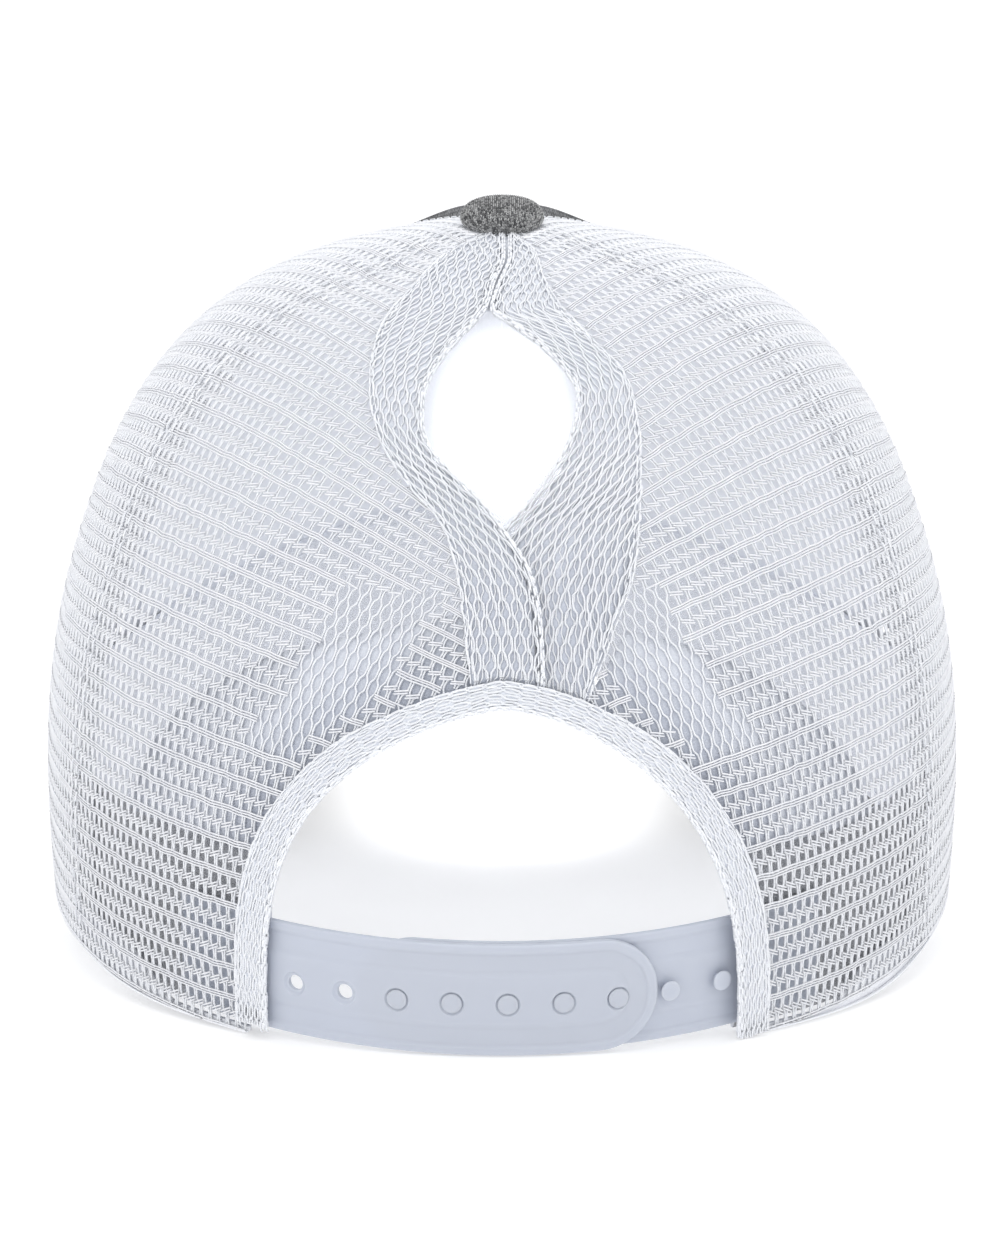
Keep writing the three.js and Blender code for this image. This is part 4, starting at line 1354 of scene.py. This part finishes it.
def strap(name, sizes):
    """Strap with a raised rim and middle band on its outer face, from its fixed end to its tip."""
    direction = math.copysign(1, sizes["tip"] - sizes["fixed_end"])
    half = STRAP_HEIGHT / 2
    round_start = sizes["tip"] - direction * half
    straight = np.linspace(sizes["fixed_end"], round_start, 80)
    angles = np.linspace(0, rad(88), 34)[1:]
    stations = np.concatenate([straight, round_start + direction * half * np.sin(angles)])[:, None]
    beyond = np.clip((stations - round_start) * direction, 0, None)
    even = np.linspace(0, math.pi, STRAP_ROWS)
    share = 0.4 * np.linspace(-1, 1, STRAP_ROWS) - 0.6 * np.cos(even)
    offset = half * np.sqrt(1 - (beyond / half) ** 2) * share
    to_edge = np.clip(half - np.where(beyond > 0, np.hypot(beyond, offset), abs(offset)), 0, None)
    low = smooth(to_edge, RIM_WIDTH - RELIEF_BLEND, RIM_WIDTH)
    inner_end = RIM_WIDTH + RECESS_WIDTH
    low = low * (1 - smooth(to_edge, inner_end - RELIEF_BLEND, inner_end))
    rounding = rounded(to_edge, EDGE_ROUND)
    length, height = np.broadcast_arrays(stations, STRAP_BOTTOM + half + offset)
    outer = strap_point(length, height, sizes["depth"] + RELIEF * low + rounding)[0]
    inner = strap_point(length, height, sizes["depth"] + STRAP_THICKNESS - rounding)[0]
    pile = Pile()
    pile.wall(outer, inner, (0, 0, 0), np.stack([length, height, np.zeros_like(length)], -1))
    return build(name, pile, [plastic])


def cut(piece, operation, places, stations):
    """Joins or cuts a strap by round bars across it at places along it, through radii at depths."""
    pile = Pile()
    around = circle(32)[:, None]
    for place in places:
        points, normals = strap_point(np.array([place]), HOLE_HEIGHT, 0)
        side = unit(np.cross(normals[0], (0, 0, 1)))
        spoke = np.cos(around) * side + np.sin(around) * np.cross(side, normals[0])
        rings = [points[0] - normals[0] * depth + radius * spoke for radius, depth in stations]
        pile.turned(np.stack(rings, 1))
    mesh = bpy.data.meshes.new("bars")
    corners = [face for faces, _ in pile.faces for face in faces.tolist()]
    mesh.from_pydata(to_row(np.concatenate(pile.points)).tolist(), [], corners)
    bars = put("bars", mesh)
    modifier = piece.modifiers.new("cut", "BOOLEAN")
    modifier.object = bars
    modifier.operation = operation
    modifier.solver = "EXACT"
    bpy.context.view_layer.update()
    done = bpy.data.meshes.new_from_object(piece.evaluated_get(bpy.context.evaluated_depsgraph_get()))
    piece.modifiers.clear()
    piece.data = done
    bpy.data.objects.remove(bars)
    done.shade_smooth()
    done.set_sharp_from_angle(angle=rad(38))


face = OUTER_STRAP["depth"]
hole = [(RING_RADIUS + out, face + deep) for out, deep in RING_PROFILE]
hole += [(HOLE_RADIUS + out, face + deep) for out, deep in BORE_PROFILE]
peg = [(PEG_HEAD_RADIUS * share, PEG_TOP_DEPTH + deep) for share, deep in PEG_TOP_PROFILE]
peg += [(radius, PEG_HEAD_BASE_DEPTH + deep) for radius, deep in PEG_BASE_PROFILE]
peg += [(PEG_STEM_RADIUS, INNER_STRAP["depth"] + STRAP_THICKNESS / 2)]
cut(strap("strap_holes_plastic", OUTER_STRAP), "DIFFERENCE", HOLE_PLACES, hole)
cut(strap("strap_pegs_plastic", INNER_STRAP), "UNION", PEG_PLACES, peg)


# Stage, lights and camera

def floor():
    around = circle(FLOOR_SIDES)
    ring = FLOOR_RADIUS * np.stack([np.cos(around), np.sin(around), 0 * around], -1)
    mesh = bpy.data.meshes.new("floor")
    mesh.from_pydata(ring.tolist(), [], [tuple(range(FLOOR_SIDES))])
    look = Look("floor_paper", Roughness=0.9, Emission_Color=(1, 1, 1, 1), Emission_Strength=0.45)
    look.paint(look.noise(look.place(), 40), (0.3, (0.6, 0.6, 0.603)), (0.7, (0.63, 0.63, 0.633)))
    mesh.materials.append(look.material)
    put("floor", mesh)


def lamp(name, kind, place, ahead=None, **settings):
    """A light that the camera doesn't see."""
    data = bpy.data.lights.new(name, kind)
    for key, value in settings.items():
        setattr(data, key, value)
    put(name, data, place, ahead).visible_camera = False


def lights():
    for name, place, size, watts in SOFT_LIGHTS:
        lamp(name, "AREA", place, LIT_MIDDLE - Vector(place), shape="DISK", size=size, energy=watts)
    # A small lamp in the hollow, so that the inside reads pale through the net
    lamp("inside", "POINT", (0, 0.02, 0.075), **INSIDE_LAMP)
    # What shows through the ponytail opening is pure white in the photograph
    opening = Vector(to_row(crown(0.0, rad(54), 0)[0]))
    ahead = (opening - CAMERA_PLACE).normalized()
    lamp("opening", "AREA", opening + ahead * 0.03, ahead, **OPENING_BEAM)
    # Lifts the shadow on the floor under the visor's root
    lamp("under", "AREA", (0, -0.1, 0.014), Vector((0, 0, -1)), **FLOOR_BEAM)


def studio():
    world = bpy.data.worlds.new("studio")
    world.use_nodes = True
    background = world.node_tree.nodes["Background"].inputs
    background["Color"].default_value = (0.985, 0.99, 1, 1)
    background["Strength"].default_value = 1.03
    bpy.context.scene.world = world
    bpy.context.scene.view_settings.view_transform = "Standard"


def camera():
    data = bpy.data.cameras.new("camera")
    data.lens = LENS
    data.sensor_width = SENSOR
    data.clip_end = 50
    bpy.context.scene.camera = put("camera", data, CAMERA_PLACE, CAMERA_TARGET - CAMERA_PLACE)


floor()
lights()
studio()
camera()
